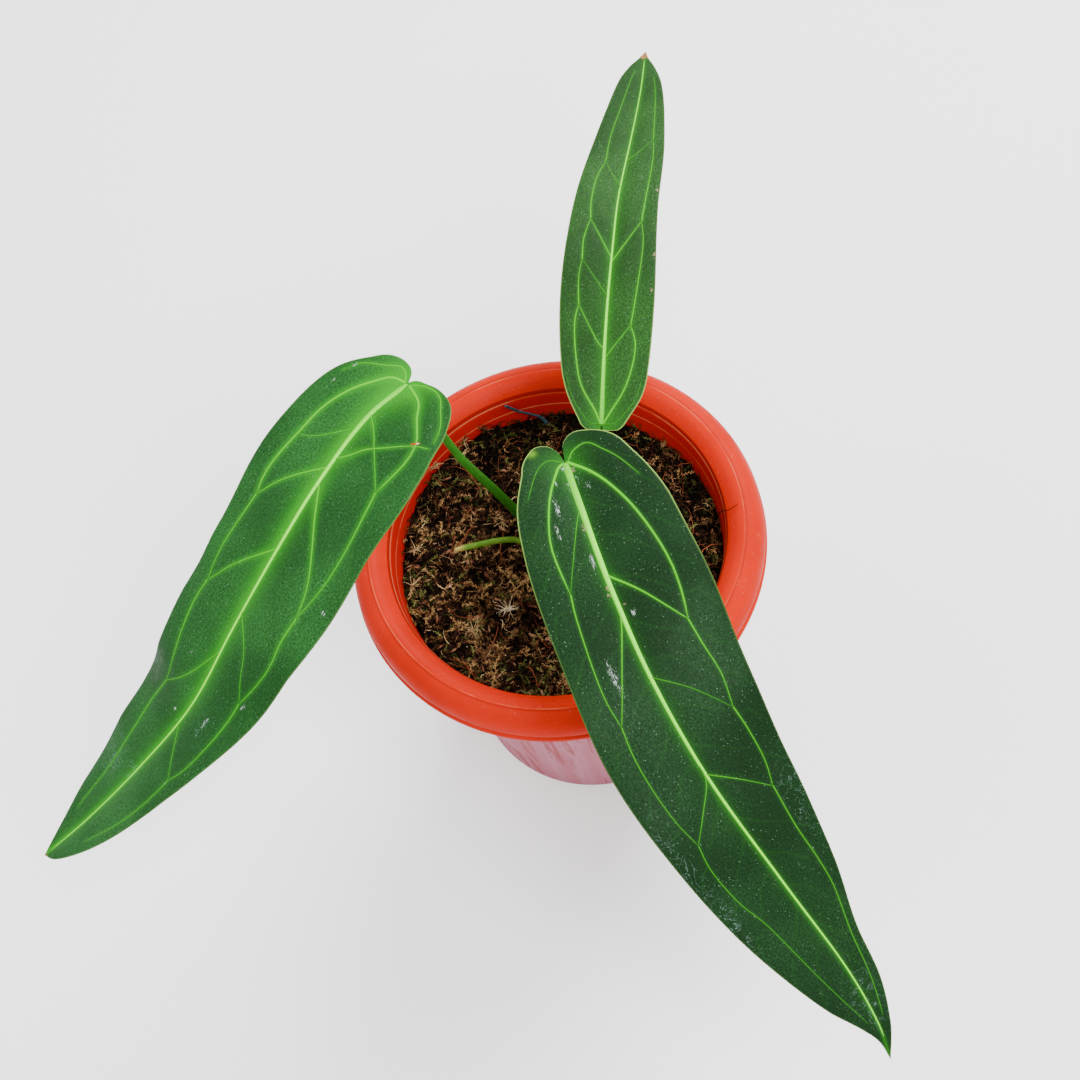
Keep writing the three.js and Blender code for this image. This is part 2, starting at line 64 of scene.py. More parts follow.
# Main sizes in mm. The rim's radius and the pot's height come from the frame.
POT_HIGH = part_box("pot")[1]
RIM_RADIUS = POT_HIGH.x / MM
POT_HEIGHT = POT_HIGH.z / MM
FOOT_RADIUS = 58.5
WALL = 2.0
SOIL_TOP = POT_HEIGHT - 22.0
RIM_INNER = RIM_RADIUS - 16.0
WALL_TOP_INNER = RIM_RADIUS - 17.3
WALL_TOP = POT_HEIGHT - 9.0
FOOT_INNER = FOOT_RADIUS - WALL
FOOT_HEIGHT = 4.0
FLOOR_THICK = 2.5
FLOOR_TOP = FOOT_HEIGHT + FLOOR_THICK
DRAIN_HOLES = 8
DRAIN_CIRCLE = 33.0
DRAIN_RADIUS = 5.0
CROWN = (2.0, -3.0)
STEM_RADIUS = 6.5
STEM_TOP = SOIL_TOP + 8.0
STEM_FOOT = SOIL_TOP - 44.0

# Worn lines and a dark crease round the pot: two radii on the rim, and two heights on the inner side
CROWN_LINE = RIM_RADIUS - 8.9
CREASE = RIM_RADIUS - 8.1
LIP_LINE = POT_HEIGHT - 6.6
WALL_LINE = POT_HEIGHT - 14.0

# The cone between the outer and the inner face of the wall: its lean, and its radius in m at the ground
WALL_LEAN = 0.0983
WALL_PARTING = 0.0567

# The leaves. Half-widths in mm stand at shares of the blade's length, seen from the stalk towards the tip.
# A lobe is the outline behind the stalk, as (degrees from straight back, distance) from there. A vein is
# (width in mm, strength, route), and its route has (share of the length, share of the half-width).
LEAVES = {
    "front": {
        "midrib": [(11, -14, 236), (12.1, -42.2, 240), (13.9, -70.2, 237), (18.8, -104.5, 226),
                   (28.6, -137.9, 205), (44.1, -171.8, 176), (58.4, -201.2, 149), (64.8, -221, 132),
                   (66, -233, 121)],
        "roll": -3,
        "right": [(0, 16.8), (0.06, 22.8), (0.12, 25.3), (0.2, 26.5), (0.3, 27.3), (0.42, 29.5),
                  (0.55, 28.6), (0.68, 26.2), (0.8, 20.7), (0.88, 14.5), (0.94, 5.8), (0.97, 1.9), (1, 0)],
        "left": [(0, 23), (0.06, 28.6), (0.12, 32.5), (0.25, 35.1), (0.4, 32.7), (0.55, 28.4), (0.7, 20.7),
                 (0.8, 12.3), (0.88, 8.9), (0.94, 4.8), (0.97, 2.3), (1, 0)],
        "right_lobe": [(12, 5), (20, 9.8), (30, 13), (40, 14.7), (60, 15.3), (90, 16.8)],
        "left_lobe": [(8, 8), (14, 11), (26, 14.3), (48, 16.3), (66, 18.8), (90, 23)],
        "right_veins": [
            (1.5, 1.0, [(0.0, 0.05), (0.01, 0.21), (0.04, 0.38), (0.08, 0.5), (0.13, 0.59), (0.2, 0.54)]),
            (0.7, 0.8, [(0.2, 0.54), (0.24, 0.59), (0.33, 0.64), (0.38, 0.6)]),
            (0.6, 0.6, [(0.38, 0.6), (0.43, 0.64), (0.51, 0.64), (0.56, 0.59)]),
            (0.5, 0.5, [(0.56, 0.59), (0.6, 0.66), (0.66, 0.65), (0.72, 0.56), (0.83, 0.55), (0.93, 0.49)]),
            (0.5, 0.6, [(0.08, 0.0), (0.11, 0.15), (0.16, 0.36), (0.2, 0.54)]),
            (0.7, 0.8, [(0.24, 0.0), (0.27, 0.09), (0.34, 0.4), (0.38, 0.6)]),
            (0.6, 0.6, [(0.47, 0.0), (0.5, 0.05), (0.53, 0.3), (0.56, 0.59)]),
            (0.7, 0.5, [(0.0, 0.05), (-0.01, 0.35), (0.005, 0.66), (0.05, 0.81)]),
        ],
        "left_veins": [
            (1.7, 1.0, [(0.0, 0.03), (0.03, 0.28), (0.07, 0.45), (0.14, 0.61), (0.2, 0.67), (0.25, 0.65),
                        (0.29, 0.6)]),
            (0.7, 0.8, [(0.29, 0.6), (0.33, 0.64), (0.38, 0.69), (0.43, 0.65)]),
            (0.7, 0.7, [(0.43, 0.65), (0.47, 0.69), (0.52, 0.7), (0.56, 0.63)]),
            (0.6, 0.6, [(0.56, 0.63), (0.63, 0.64), (0.69, 0.72), (0.75, 0.78), (0.83, 0.7), (0.93, 0.52)]),
            (1.1, 0.9, [(0.19, 0.0), (0.23, 0.28), (0.29, 0.6)]),
            (0.5, 0.45, [(0.34, 0.0), (0.38, 0.35), (0.43, 0.65)]),
            (0.6, 0.6, [(0.49, 0.0), (0.52, 0.29), (0.56, 0.63)]),
            (0.9, 0.7, [(0.0, 0.05), (-0.015, 0.22), (-0.015, 0.48), (0.02, 0.72), (0.07, 0.83)]),
        ],
    },
    "left": {
        "midrib": [(-38, 30, 250), (-57.3, 19.7, 249.5), (-81, 1.8, 243.5), (-103.3, -16.4, 234),
                   (-126.5, -32.7, 218.5), (-152.4, -49.4, 198), (-182.5, -58.8, 176.5),
                   (-211.7, -65, 156.5), (-237, -69, 141)],
        "roll": -8,
        "right": [(0, 18.8), (0.06, 28.1), (0.12, 31.7), (0.25, 31.4), (0.35, 30.1), (0.4, 29.7),
                  (0.46, 31.9), (0.54, 30.8), (0.58, 31.4), (0.61, 32.3), (0.65, 32), (0.7, 28.6),
                  (0.8, 22.1), (0.88, 15.1), (0.94, 7.9), (1, 0)],
        "left": [(0, 27.8), (0.03, 33.6), (0.08, 37.3), (0.14, 37.9), (0.25, 37.9), (0.4, 36.5),
                 (0.5, 32.2), (0.6, 27.1), (0.7, 22.2), (0.8, 18.7), (0.88, 14.1), (0.94, 9.5), (0.98, 4.9),
                 (1, 0)],
        "right_lobe": [(20, 2), (31, 5.5), (56, 11), (75, 15.5), (90, 18.8)],
        "left_lobe": [(20, 2), (55, 8), (68, 16), (79, 23), (90, 27.8)],
        "right_veins": [
            (1.6, 1.0, [(0.0, 0.05), (0.01, 0.33), (0.04, 0.43), (0.1, 0.58), (0.15, 0.62), (0.22, 0.7),
                        (0.26, 0.66)]),
            (0.7, 0.7, [(0.26, 0.66), (0.32, 0.73), (0.38, 0.76), (0.42, 0.71)]),
            (0.6, 0.7, [(0.42, 0.71), (0.46, 0.72), (0.54, 0.66), (0.61, 0.55)]),
            (0.6, 0.6, [(0.61, 0.55), (0.67, 0.6), (0.73, 0.57), (0.81, 0.54), (0.9, 0.6)]),
            (0.5, 0.5, [(0.1, 0.0), (0.14, 0.36), (0.155, 0.62)]),
            (0.8, 0.8, [(0.17, 0.0), (0.22, 0.42), (0.26, 0.66)]),
            (0.7, 0.8, [(0.31, 0.0), (0.37, 0.45), (0.42, 0.71)]),
            (0.6, 0.6, [(0.49, 0.0), (0.56, 0.29), (0.61, 0.55)]),
            (0.8, 0.8, [(0.0, 0.05), (-0.012, 0.25), (-0.01, 0.48), (0.02, 0.85), (0.05, 0.88)]),
        ],
        "left_veins": [
            (1.3, 1.0, [(0.0, 0.05), (0.01, 0.38), (0.03, 0.53), (0.06, 0.73), (0.1, 0.76), (0.165, 0.66)]),
            (0.7, 0.7, [(0.165, 0.66), (0.24, 0.74), (0.3, 0.74), (0.37, 0.66)]),
            (0.7, 0.7, [(0.37, 0.66), (0.41, 0.67), (0.45, 0.73), (0.49, 0.71), (0.53, 0.65)]),
            (0.6, 0.6, [(0.53, 0.65), (0.57, 0.7), (0.65, 0.77), (0.69, 0.72)]),
            (0.5, 0.5, [(0.69, 0.72), (0.73, 0.76), (0.8, 0.78), (0.9, 0.67)]),
            (0.6, 0.7, [(0.07, 0.0), (0.09, 0.21), (0.13, 0.47), (0.165, 0.66)]),
            (0.8, 0.8, [(0.155, 0.0), (0.14, 0.14), (0.12, 0.27), (0.1, 0.47), (0.07, 0.73), (0.055, 0.9)]),
            (0.9, 0.9, [(0.195, 0.0), (0.21, 0.08), (0.25, 0.25), (0.32, 0.55), (0.37, 0.66)]),
            (0.5, 0.5, [(0.42, 0.0), (0.46, 0.31), (0.5, 0.48), (0.53, 0.65)]),
            (0.5, 0.5, [(0.63, 0.0), (0.66, 0.35), (0.69, 0.72)]),
            (0.8, 0.8, [(0.0, 0.05), (-0.015, 0.3), (-0.015, 0.6), (0.01, 0.86), (0.04, 0.92)]),
        ],
    },
    "back": {
        "midrib": [(29, 6, 222), (36, 25, 231.5), (44, 47, 237.5), (53, 71, 240.5), (62, 95, 240),
                   (74, 122, 237), (86, 152, 229.5), (96, 182, 220)],
        "roll": -5,
        "right": [(0, 9), (0.06, 15.6), (0.12, 17.6), (0.25, 18.4), (0.4, 17.1), (0.6, 15.3), (0.75, 12),
                  (0.87, 8.4), (0.93, 5), (0.97, 1.8), (1, 0)],
        "left": [(0, 8.3), (0.06, 13.9), (0.12, 16.7), (0.25, 18.7), (0.4, 18.4), (0.6, 15.5), (0.75, 12.8),
                 (0.87, 9.8), (0.93, 6.2), (0.97, 2.4), (1, 0)],
        "right_lobe": [(20, 2), (59, 4.5), (72, 6.8), (90, 9)],
        "left_lobe": [(20, 2), (36, 3), (60, 5.2), (90, 8.3)],
        "right_veins": [
            (1.0, 1.0, [(0.0, 0.05), (0.02, 0.24), (0.06, 0.48), (0.11, 0.62), (0.16, 0.66), (0.2, 0.53)]),
            (0.6, 0.8, [(0.2, 0.53), (0.26, 0.59), (0.38, 0.69), (0.44, 0.63)]),
            (0.6, 0.8, [(0.44, 0.63), (0.51, 0.68), (0.61, 0.71), (0.67, 0.66)]),
            (0.5, 0.6, [(0.67, 0.66), (0.77, 0.65), (0.89, 0.65)]),
            (0.6, 0.7, [(0.13, 0.0), (0.2, 0.53)]),
            (0.7, 0.8, [(0.34, 0.0), (0.44, 0.63)]),
            (0.5, 0.4, [(0.6, 0.0), (0.67, 0.66)]),
            (0.5, 0.4, [(0.0, 0.1), (0.005, 0.6), (0.04, 0.85), (0.1, 0.88)]),
        ],
        "left_veins": [
            (1.0, 1.0, [(0.0, 0.05), (0.02, 0.2), (0.07, 0.54), (0.13, 0.64), (0.2, 0.67), (0.24, 0.6)]),
            (0.6, 0.8, [(0.24, 0.6), (0.3, 0.64), (0.34, 0.61)]),
            (0.6, 0.8, [(0.34, 0.61), (0.39, 0.63), (0.44, 0.55)]),
            (0.6, 0.8, [(0.44, 0.55), (0.49, 0.61), (0.55, 0.61), (0.59, 0.51)]),
            (0.5, 0.6, [(0.59, 0.51), (0.66, 0.58), (0.75, 0.56), (0.92, 0.48)]),
            (0.6, 0.8, [(0.15, 0.0), (0.17, 0.2), (0.24, 0.6)]),
            (0.5, 0.4, [(0.26, 0.0), (0.34, 0.61)]),
            (0.6, 0.8, [(0.35, 0.0), (0.44, 0.55)]),
            (0.5, 0.4, [(0.53, 0.0), (0.59, 0.51)]),
            (0.5, 0.4, [(0.0, 0.1), (0.005, 0.6), (0.04, 0.85), (0.1, 0.9)]),
        ],
    },
}
STALKS = {
    "front": [(6, -6.5, 140), (9, -8, 160), (12, -7, 190), (12.5, -8.5, 220)],
    "left": [(-3.5, 2.5, 140), (-12, 15, 153.5), (-20, 20, 175), (-28.2, 24, 198), (-34.5, 28, 228)],
    "back": [(5.5, 1.5, 140), (12, 6, 160), (21, 10, 186), (28, 12, 206)],
}

# How the blades are bent: the degrees that each half rises from the midrib, along the leaf; the radius in mm
# that it bends down on; and how far the lobes sink and the margins wave
FOLD = [(0, 12), (0.3, 10), (1, 6)]
CURL_RADIUS = 100.0
LOBE_DROP = 0.01
WAVE_HEIGHT = 0.8
WAVE_LENGTH = 46.0

# Stalks and roots in mm, radii at shares of the length. A main root is (heading in degrees, reach, low end).
STALK_RADII = [(0, 3.4), (0.12, 2.3), (0.4, 1.9), (0.86, 1.65), (0.93, 2.1), (0.98, 2.1), (1, 1.8)]
SHEATH_SHARE = 0.09
SHEATH_RINGS = 19
SHEATH_THICK = 0.5
KEEL_DEPTH = 1.3
AERIAL_ROOT = [(CROWN[0] - STEM_RADIUS - 0.6, CROWN[1], SOIL_TOP + 2.6), (-11, 3, SOIL_TOP + 5.8),
               (-16.5, 7.6, SOIL_TOP + 8.6), (-25, 9.2, SOIL_TOP + 10), (-34, 9.4, SOIL_TOP + 11),
               (-43, 9.5, SOIL_TOP + 12)]
AERIAL_ROOT_RADII = [(0, 1.6), (0.25, 1.35), (0.75, 1.3), (0.9, 1.25), (0.96, 0.95), (1, 0.35)]
TIE = [(-5.3, 68.8, SOIL_TOP + 16.7), (0, 68.2, SOIL_TOP + 10), (4.2, 67.4, SOIL_TOP + 6.9),
       (8.6, 66.3, SOIL_TOP + 3), (11, 64.5, SOIL_TOP - 3)]
ROOTS = [(15, 34, 66), (75, 42, 52), (140, 36, 78), (200, 44, 60), (265, 38, 46), (320, 41, 72)]

# The growing medium, in mm: the gap to the wall, the bank of moss, and what lies at a place of its own. The
# golden angle is in radians.
WALL_GAP = 0.4
PLUG_COLUMNS = 180
BANK_HEADING = np.radians(118)
BANK_SPREAD = 0.5
BANK_HEIGHT = 6.0
MOSS_CLUMPS = [(-35, 47), (-5, 59), (46, 48), (-25, -49), (-64, 2)]
STAR_SPRIG = (-28, -19)
STAR_STRAWS = 44
STRAW_TUFTS = [(-27, 63), (-17, 66), (-42, 55), (-31, 57), (-60, 20), (-65, 3), (-20, 22), (-45, -24),
               (-13, -43)]
TUFT_STRAWS = 26
RUSTY_FIBRES = 90
TWIG = [(61, -4, SOIL_TOP), (66.5, -8.5, POT_HEIGHT - 12), (69.5, -11, POT_HEIGHT - 4),
        (72.3, -13, POT_HEIGHT - 0.8), (76, -12.5, POT_HEIGHT + 1.2)]
TWIG_RADII = [(0, 0.3), (1, 0.14)]
GOLDEN_ANGLE = 2.39996

# Each kind of litter: its colours from damp to dry, how far a bit's tint drifts, and its roughness. Bits low
# in the soil are moved towards the dark end, partly as painted shade.
LITTER = {
    "damp_crumbs": ([(0.001, 0.0005, 0.0003), (0.006, 0.0025, 0.0012), (0.02, 0.008, 0.004)], 0.5, 0.95),
    "bark": ([(0.004, 0.0014, 0.0008), (0.035, 0.01, 0.0045), (0.09, 0.03, 0.013), (0.21, 0.11, 0.055)],
             0.25, 0.85),
    "dry_fibre": ([(0.006, 0.0025, 0.001), (0.04, 0.015, 0.0065), (0.15, 0.065, 0.026), (0.56, 0.4, 0.19)],
                  0.15, 0.8),
    "living_moss": ([(0.003, 0.0026, 0.001), (0.02, 0.021, 0.004), (0.062, 0.064, 0.011),
                     (0.19, 0.185, 0.055)], 0.15, 0.85),
    "dried_moss": ([(0.003, 0.0012, 0.0006), (0.032, 0.012, 0.005), (0.13, 0.058, 0.02), (0.4, 0.23, 0.09)],
                   0.2, 0.9),
    "rusty_fibre": ([(0.05, 0.01, 0.004), (0.3, 0.075, 0.025)], 0.2, 0.6),
    "pale_grains": ([(0.36, 0.27, 0.15), (0.66, 0.56, 0.38)], 0.2, 0.8),
}

# Steps of the blades' meshes: rows round the lobe, and mm between rows and between columns; and the rings
# and sides of a vein's and of the midrib's tube
FAN_ROWS = 26
ROW_STEP = 0.68
COLUMN_STEP = 0.74
VEIN_RINGS = 40
VEIN_SIDES = 8
RIB_RINGS = 260
RIB_SIDES = 16

# How far the lower face's patterns are shifted, in mm, so that they don't repeat the upper face's
UNDER_SHIFT = 30.0

# The finish of each blade. A halo beside the midrib is (near reach in mm, strength and reach of its wide
# part, strength and reach in mm round the stalk), and the tip is dry from a share of the length on.
HALO_REACH = {"front": 1.1, "left": 2.2, "back": 1.4}
RIB_HALO = {"front": (1.7, 0.2, 4.5, 0.6, 9), "left": (2.5, 0.55, 6, 0.8, 12),
            "back": (1.3, 0.3, 3.5, 0.6, 8)}
RIB_WIDE = {"front": 1.8, "left": 1.45, "back": 1.05}
EDGE_GLOW = {"front": 0.75, "left": 0.12, "back": 0.5}
DRY_FROM = {"front": 0.996, "left": 0.99, "back": 0.953}

# Marks on the upper faces: (share of the length, mm across, reach along, reach across), across to the right.
# A slit is the two ends of a line, in mm along and across.
MARK_KINDS = ("scar", "scab", "trail", "glow")
MARKS = {
    "front": {
        "scar": [(0.033, 5.9, 3, 1), (0.075, 8.4, 9, 1.4), (0.11, 11.1, 6, 1.1), (0.055, -5.3, 3, 1.5),
                 (0.252, -4.1, 2.5, 1.6), (0.32, 11.8, 9, 2), (0.167, 2.8, 6, 1.4), (0.008, 1.3, 2.5, 2.2),
                 (0.045, 1.9, 5, 0.8), (0.035, -2.5, 4, 0.7)],
        "scab": [(0.032, -7.6, 1.3, 1), (0.018, -2, 1.8, 0.8), (0.067, 0.2, 2.5, 0.7), (0.102, 0, 4, 0.9),
                 (0.117, 1.6, 2, 0.8), (0.208, 1.3, 1.6, 0.9), (0.219, 1.8, 1.2, 0.8),
                 (0.237, -2.5, 0.8, 0.8)],
        "trail": [(0.58, 25.5, 20, 2.5), (0.68, 23.9, 16, 3), (0.57, -25.5, 8, 3), (0.6, -20.5, 10, 2.5),
                  (0.89, -0.4, 14, 5)],
        "glow": [(-0.031, 10.9, 1.8, 1.6)],
    },
    "left": {
        "scar": [(0.035, 21.7, 2.5, 1), (0.066, 23, 2.5, 1.2), (0.513, 23.2, 1.2, 1.2), (0.524, 12, 1.5, 1),
                 (0.586, -11.9, 3, 1.5), (0.528, -22.2, 2, 1.5), (0.343, -32.8, 1.5, 1.5),
                 (0.622, 5.4, 1.5, 1.5)],
        "trail": [(0.789, 13.5, 9, 6), (0.755, 1.2, 5, 4), (0.6, -11.4, 6, 4)],
        "slit": ((17.9, -25.6), (14.5, -28.3)),
    },
    "back": {
        "scar": [(0.347, 11.4, 1, 0.5), (0.293, 12.6, 1, 0.5), (0.259, 13.1, 0.8, 0.5),
                 (0.216, 14.4, 1.2, 0.6), (0.22, 12, 0.8, 0.5)],
        "scab": [(0.528, 15.2, 1.6, 0.7), (0.359, 16.7, 2.2, 0.7), (0.278, 16.7, 1.6, 0.7)],
    },
}

# Studio lights: name, place in metres, width in metres, power in watts
LIGHTS = [
    ("left_light", (-1.4, 0.5, 1.5), 1.3, 16.0),
    ("right_light", (0.9, 1.1, 1.5), 1.1, 66.0),
    ("front_light", (0.4, -1.0, 1.9), 1.0, 66.0),
]
FLOOR_WIDTH = 6.0
SKY_STRENGTH = 0.9
SENSOR_WIDTH = 36.0


# Settings that a user would change

def tone(name, about, value):
    """A colour that a user may change."""
    return FloatVectorProperty(name=name, description=about, size=3, default=value, subtype="COLOR",
                               min=0, max=1)


def amount(name, about, value):
    """A number of pieces that a user may change."""
    return IntProperty(name=name, description=about, default=value, min=0)


class AnthuriumCamera(bpy.types.PropertyGroup):
    frame_px: FloatProperty(name="Picture width", description="Width and height of the picture in pixels",
                            default=1080.0)
    focal_px: FloatProperty(name="Focal length", description="Focal length in pixels of the picture",
                            default=1679.0)
    rim_px: FloatVectorProperty(name="Rim centre", description="Where the rim's centre falls in the picture",
                                size=2, default=(553.9, 530.5))
    distance: FloatProperty(name="Distance", description="From the camera to the rim's centre",
                            default=0.7, unit="LENGTH")
    look_down: FloatProperty(name="Look down", description="How steeply the camera looks down at the rim",
                             default=float(np.radians(62.2)), subtype="ANGLE")
    roll: FloatProperty(name="Roll", description="Turn of the picture about the line of sight",
                        default=float(np.radians(-16.1)), subtype="ANGLE")


class AnthuriumPot(bpy.types.PropertyGroup):
    segments: IntProperty(name="Segments", description="Steps round the pot", default=192, min=24)
    red: tone("Body colour", "Moulded colour of the rim", (0.46, 0.0115, 0.0008))
    red_deep: tone("Deep colour", "Colour of the darker patches", (0.27, 0.006, 0.0004))
    faded: tone("Faded colour", "Bleached colour of the lower wall", (0.36, 0.13, 0.17))
    scuff: tone("Scuff colour", "Colour of worn lines and scratches", (0.6, 0.15, 0.07))


class AnthuriumLeaves(bpy.types.PropertyGroup):
    thickness: FloatProperty(name="Thickness", description="Thickness of the blade in mm", default=0.7)
    quilt: FloatProperty(name="Quilting", description="Depth of the valleys along the veins in mm",
                         default=0.35)
    # The blade colours differ partly by each leaf's own tone and partly as painted light and shade: the left
    # blade is brighter as the lit one, the front blade darker as the shaded one
    dark: tone("Front blade", "Colour of the front leaf", (0.0047, 0.0215, 0.0058))
    bright: tone("Left blade", "Colour of the left leaf", (0.0088, 0.055, 0.011))
    middling: tone("Back blade", "Colour of the back leaf", (0.01, 0.043, 0.0078))
    vein: tone("Veins", "Colour of the strongest side veins", (0.075, 0.4, 0.006))
    halo: tone("Halo", "Colour beside the veins", (0.026, 0.23, 0.008))
    # The midrib's crest colour is a painted highlight on one side of it
    rib: tone("Midrib", "Colour of the midrib's crest", (0.24, 0.8, 0.04))
    stalk: tone("Stalks", "Colour of the stalks", (0.0135, 0.09, 0.0045))


class AnthuriumMedium(bpy.types.PropertyGroup):
    seed: IntProperty(name="Seed", description="Start of the random draws", default=8)
    fibres: amount("Fibres", "Number of loose fibres", 1300)
    sprigs: amount("Sprigs", "Number of moss sprigs", 2900)
    chips: amount("Chips", "Number of bark chips", 1100)
    grains: amount("Grains", "Number of pale grains", 40)


# Curves and surfaces

def through(stations, t):
    """Smooth values at t: a cubic between each pair of stations, which has its neighbours' slope at each."""
    x, y = np.array(stations, float).T
    slope = np.empty(len(x))
    slope[1:-1] = (y[2:] - y[:-2]) / (x[2:] - x[:-2])
    slope[0] = (y[1] - y[0]) / (x[1] - x[0])
    slope[-1] = (y[-1] - y[-2]) / (x[-1] - x[-2])
    t = np.clip(np.asarray(t, float), x[0], x[-1])
    i = np.clip(np.searchsorted(x, t, side="right") - 1, 0, len(x) - 2)
    h = x[i + 1] - x[i]
    k = (t - x[i]) / h
    rise = (2 * k**3 - 3 * k**2 + 1) * y[i] + (3 * k**2 - 2 * k**3) * y[i + 1]
    bend = (k**3 - 2 * k**2 + k) * h * slope[i] + (k**3 - k**2) * h * slope[i + 1]
    return rise + bend


def bell(*ratios):
    """A bell of height 1: e to the power of minus the sum of the squares."""
    return np.exp(-sum(ratio**2 for ratio in ratios))


def unit(v):
    """Vectors of length 1, along the last axis."""
    return v / np.maximum(np.linalg.norm(v, axis=-1, keepdims=True), 1e-9)


def smooth_route(points, count):
    """Evenly spaced points on the uniform Catmull-Rom curve through the given ones, in any count of axes."""
    p = np.array(points, float)
    p = np.vstack([2 * p[0] - p[1], p, 2 * p[-1] - p[-2]])
    spans = len(points) - 1
    u = np.linspace(0, spans, 40 * spans + 1)
    i = np.minimum(u.astype(int), spans - 1)
    k = (u - i)[:, None]
    a, b, c, d = p[i], p[i + 1], p[i + 2], p[i + 3]
    fine = 0.5 * (2 * b + (c - a) * k + (2 * a - 5 * b + 4 * c - d) * k**2 + (3 * b - a - 3 * c + d) * k**3)
    reach = np.concatenate([[0], np.cumsum(np.linalg.norm(np.diff(fine, axis=0), axis=1))])
    s = np.linspace(0, reach[-1], count)
    return np.stack([np.interp(s, reach, fine[:, n]) for n in range(p.shape[1])], axis=1)


def grid_faces(rows, columns, close=False):
    """Triangles of a grid of points numbered row by row. A closed one joins its last column to its first."""
    i = np.arange(rows - 1)[:, None]
    j = np.arange(columns if close else columns - 1)[None, :]
    after = (j + 1) % columns
    a, b = i * columns + j, i * columns + after
    c, d = (i + 1) * columns + after, (i + 1) * columns + j
    return np.concatenate([np.stack([a, b, c], -1).reshape(-1, 3), np.stack([a, c, d], -1).reshape(-1, 3)])


def repeated(faces, count, each):
    """The faces of one bit, numbered anew for as many bits of so many points."""
    return (faces[None] + (each * np.arange(count))[:, None, None]).reshape(-1, 3)


def swept(routes, side, up, wide, high, sides):
    """Closed tubes with an oval section, many at once. Routes, side and up are (tubes, rings, 3), and wide
    and high are (tubes, rings). A ring's points are route + side wide cos a + up high sin a, and the
    middle of the first and the last ring closes the ends. Gives points, faces and the share along the tube
    at each point."""
    tubes, rings, _ = routes.shape
    a = np.linspace(0, 2 * np.pi, sides, endpoint=False)[:, None]
    wall = routes[:, :, None] + side[:, :, None] * (wide[:, :, None, None] * np.cos(a))
    wall = wall + up[:, :, None] * (high[:, :, None, None] * np.sin(a))
    points = np.concatenate([wall.reshape(tubes, -1, 3), routes[:, :1], routes[:, -1:]], axis=1)
    faces = grid_faces(rings, sides, close=True)
    ring = np.arange(sides)
    after = (ring + 1) % sides
    start, end = rings * sides, rings * sides + 1
    last = (rings - 1) * sides
    near = np.stack([np.full(sides, start), after, ring], -1)
    far = np.stack([np.full(sides, end), last + ring, last + after], -1)
    faces = np.concatenate([faces, near, far])
    share = np.concatenate([np.repeat(np.linspace(0, 1, rings), sides), [0, 1]])
    return points.reshape(-1, 3), repeated(faces, tubes, points.shape[1]), np.tile(share, tubes)


def round_tubes(routes, radii, sides, away=ODD_WAY):
    """Round closed tubes along routes of (tubes, rings, 3) with radii of (tubes, rings). The section's
    first axis is the tangent crossed with a direction that the routes don't take."""
    tangent = unit(np.gradient(routes, axis=1))
    side = unit(np.cross(tangent, np.asarray(away, float)))
    up = np.cross(tangent, side)
    return swept(routes, side, up, radii, radii, sides)


def one_tube(points, radii, rings, sides, away=ODD_WAY, begin=0.0):
    """One round tube through a few points, its radius given at shares of its length, from the share begin
    on."""
    share = np.linspace(0, 1, rings)
    keep = share >= begin
    route = smooth_route(points, rings)[keep][None]
    return round_tubes(route, through(radii, share[keep])[None], sides, away)


def turned(outline, segments):
    """A closed outline of (radius, height) turned about the pot's axis: x = r cos a, y = r sin a."""
    r, z = np.array(outline, float).T[:, :, None]
    a = np.linspace(0, 2 * np.pi, segments, endpoint=False)[None, :]
    points = np.stack([r * np.cos(a), r * np.sin(a), z + np.zeros_like(a)], -1)
    return points.reshape(-1, 3), grid_faces(len(r), segments, close=True)


def welded(points, faces, layers):
    """Joins points that lie on each other, and drops the faces that have shrunk to a line."""
    key = np.round(points * 1e4).astype(np.int64)
    _, first, place = np.unique(key, axis=0, return_index=True, return_inverse=True)
    faces = place.ravel()[faces]
    a, b, c = faces.T
    faces = faces[(a != b) & (b != c) & (c != a)]
    return points[first], faces, {name: values[first] for name, values in layers.items()}


def joined(parts):
    """One mesh out of several (points, faces, layers), where all have the same layers."""
    offset = np.cumsum([0] + [len(points) for points, _, _ in parts])
    points = np.concatenate([points for points, _, _ in parts])
    faces = np.concatenate([faces + first for (_, faces, _), first in zip(parts, offset)])
    layers = {name: np.concatenate([part[2][name] for part in parts]) for name in parts[0][2]}
    return points, faces, layers


def put_mesh(name, points, faces, layers, material, nodes, slot):
    """Puts whole arrays of points in mm and triangles into a new object that rides on the frame. A layer
    of one value or three values at each point becomes an attribute of the mesh."""
    mesh = bpy.data.meshes.new(name)
    mesh.vertices.add(len(points))
    mesh.vertices.foreach_set("co", (points * MM).astype(np.float32).ravel())
    mesh.loops.add(faces.size)
    mesh.loops.foreach_set("vertex_index", faces.astype(np.int32).ravel())
    mesh.polygons.add(len(faces))
    mesh.polygons.foreach_set("loop_start", np.arange(0, faces.size, 3, dtype=np.int32))
    mesh.update(calc_edges=True)
    for layer, values in layers.items():
        flat = values.ndim == 1
        attribute = mesh.attributes.new(layer, "FLOAT" if flat else "FLOAT_VECTOR", "POINT")
        attribute.data.foreach_set("value" if flat else "vector", values.astype(np.float32).ravel())
    mesh.shade_smooth()
    mesh.materials.append(material)
    piece = bpy.data.objects.new(name, mesh)
    bpy.context.scene.collection.objects.link(piece)
    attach(piece, "root")
    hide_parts(*nodes)
    return piece


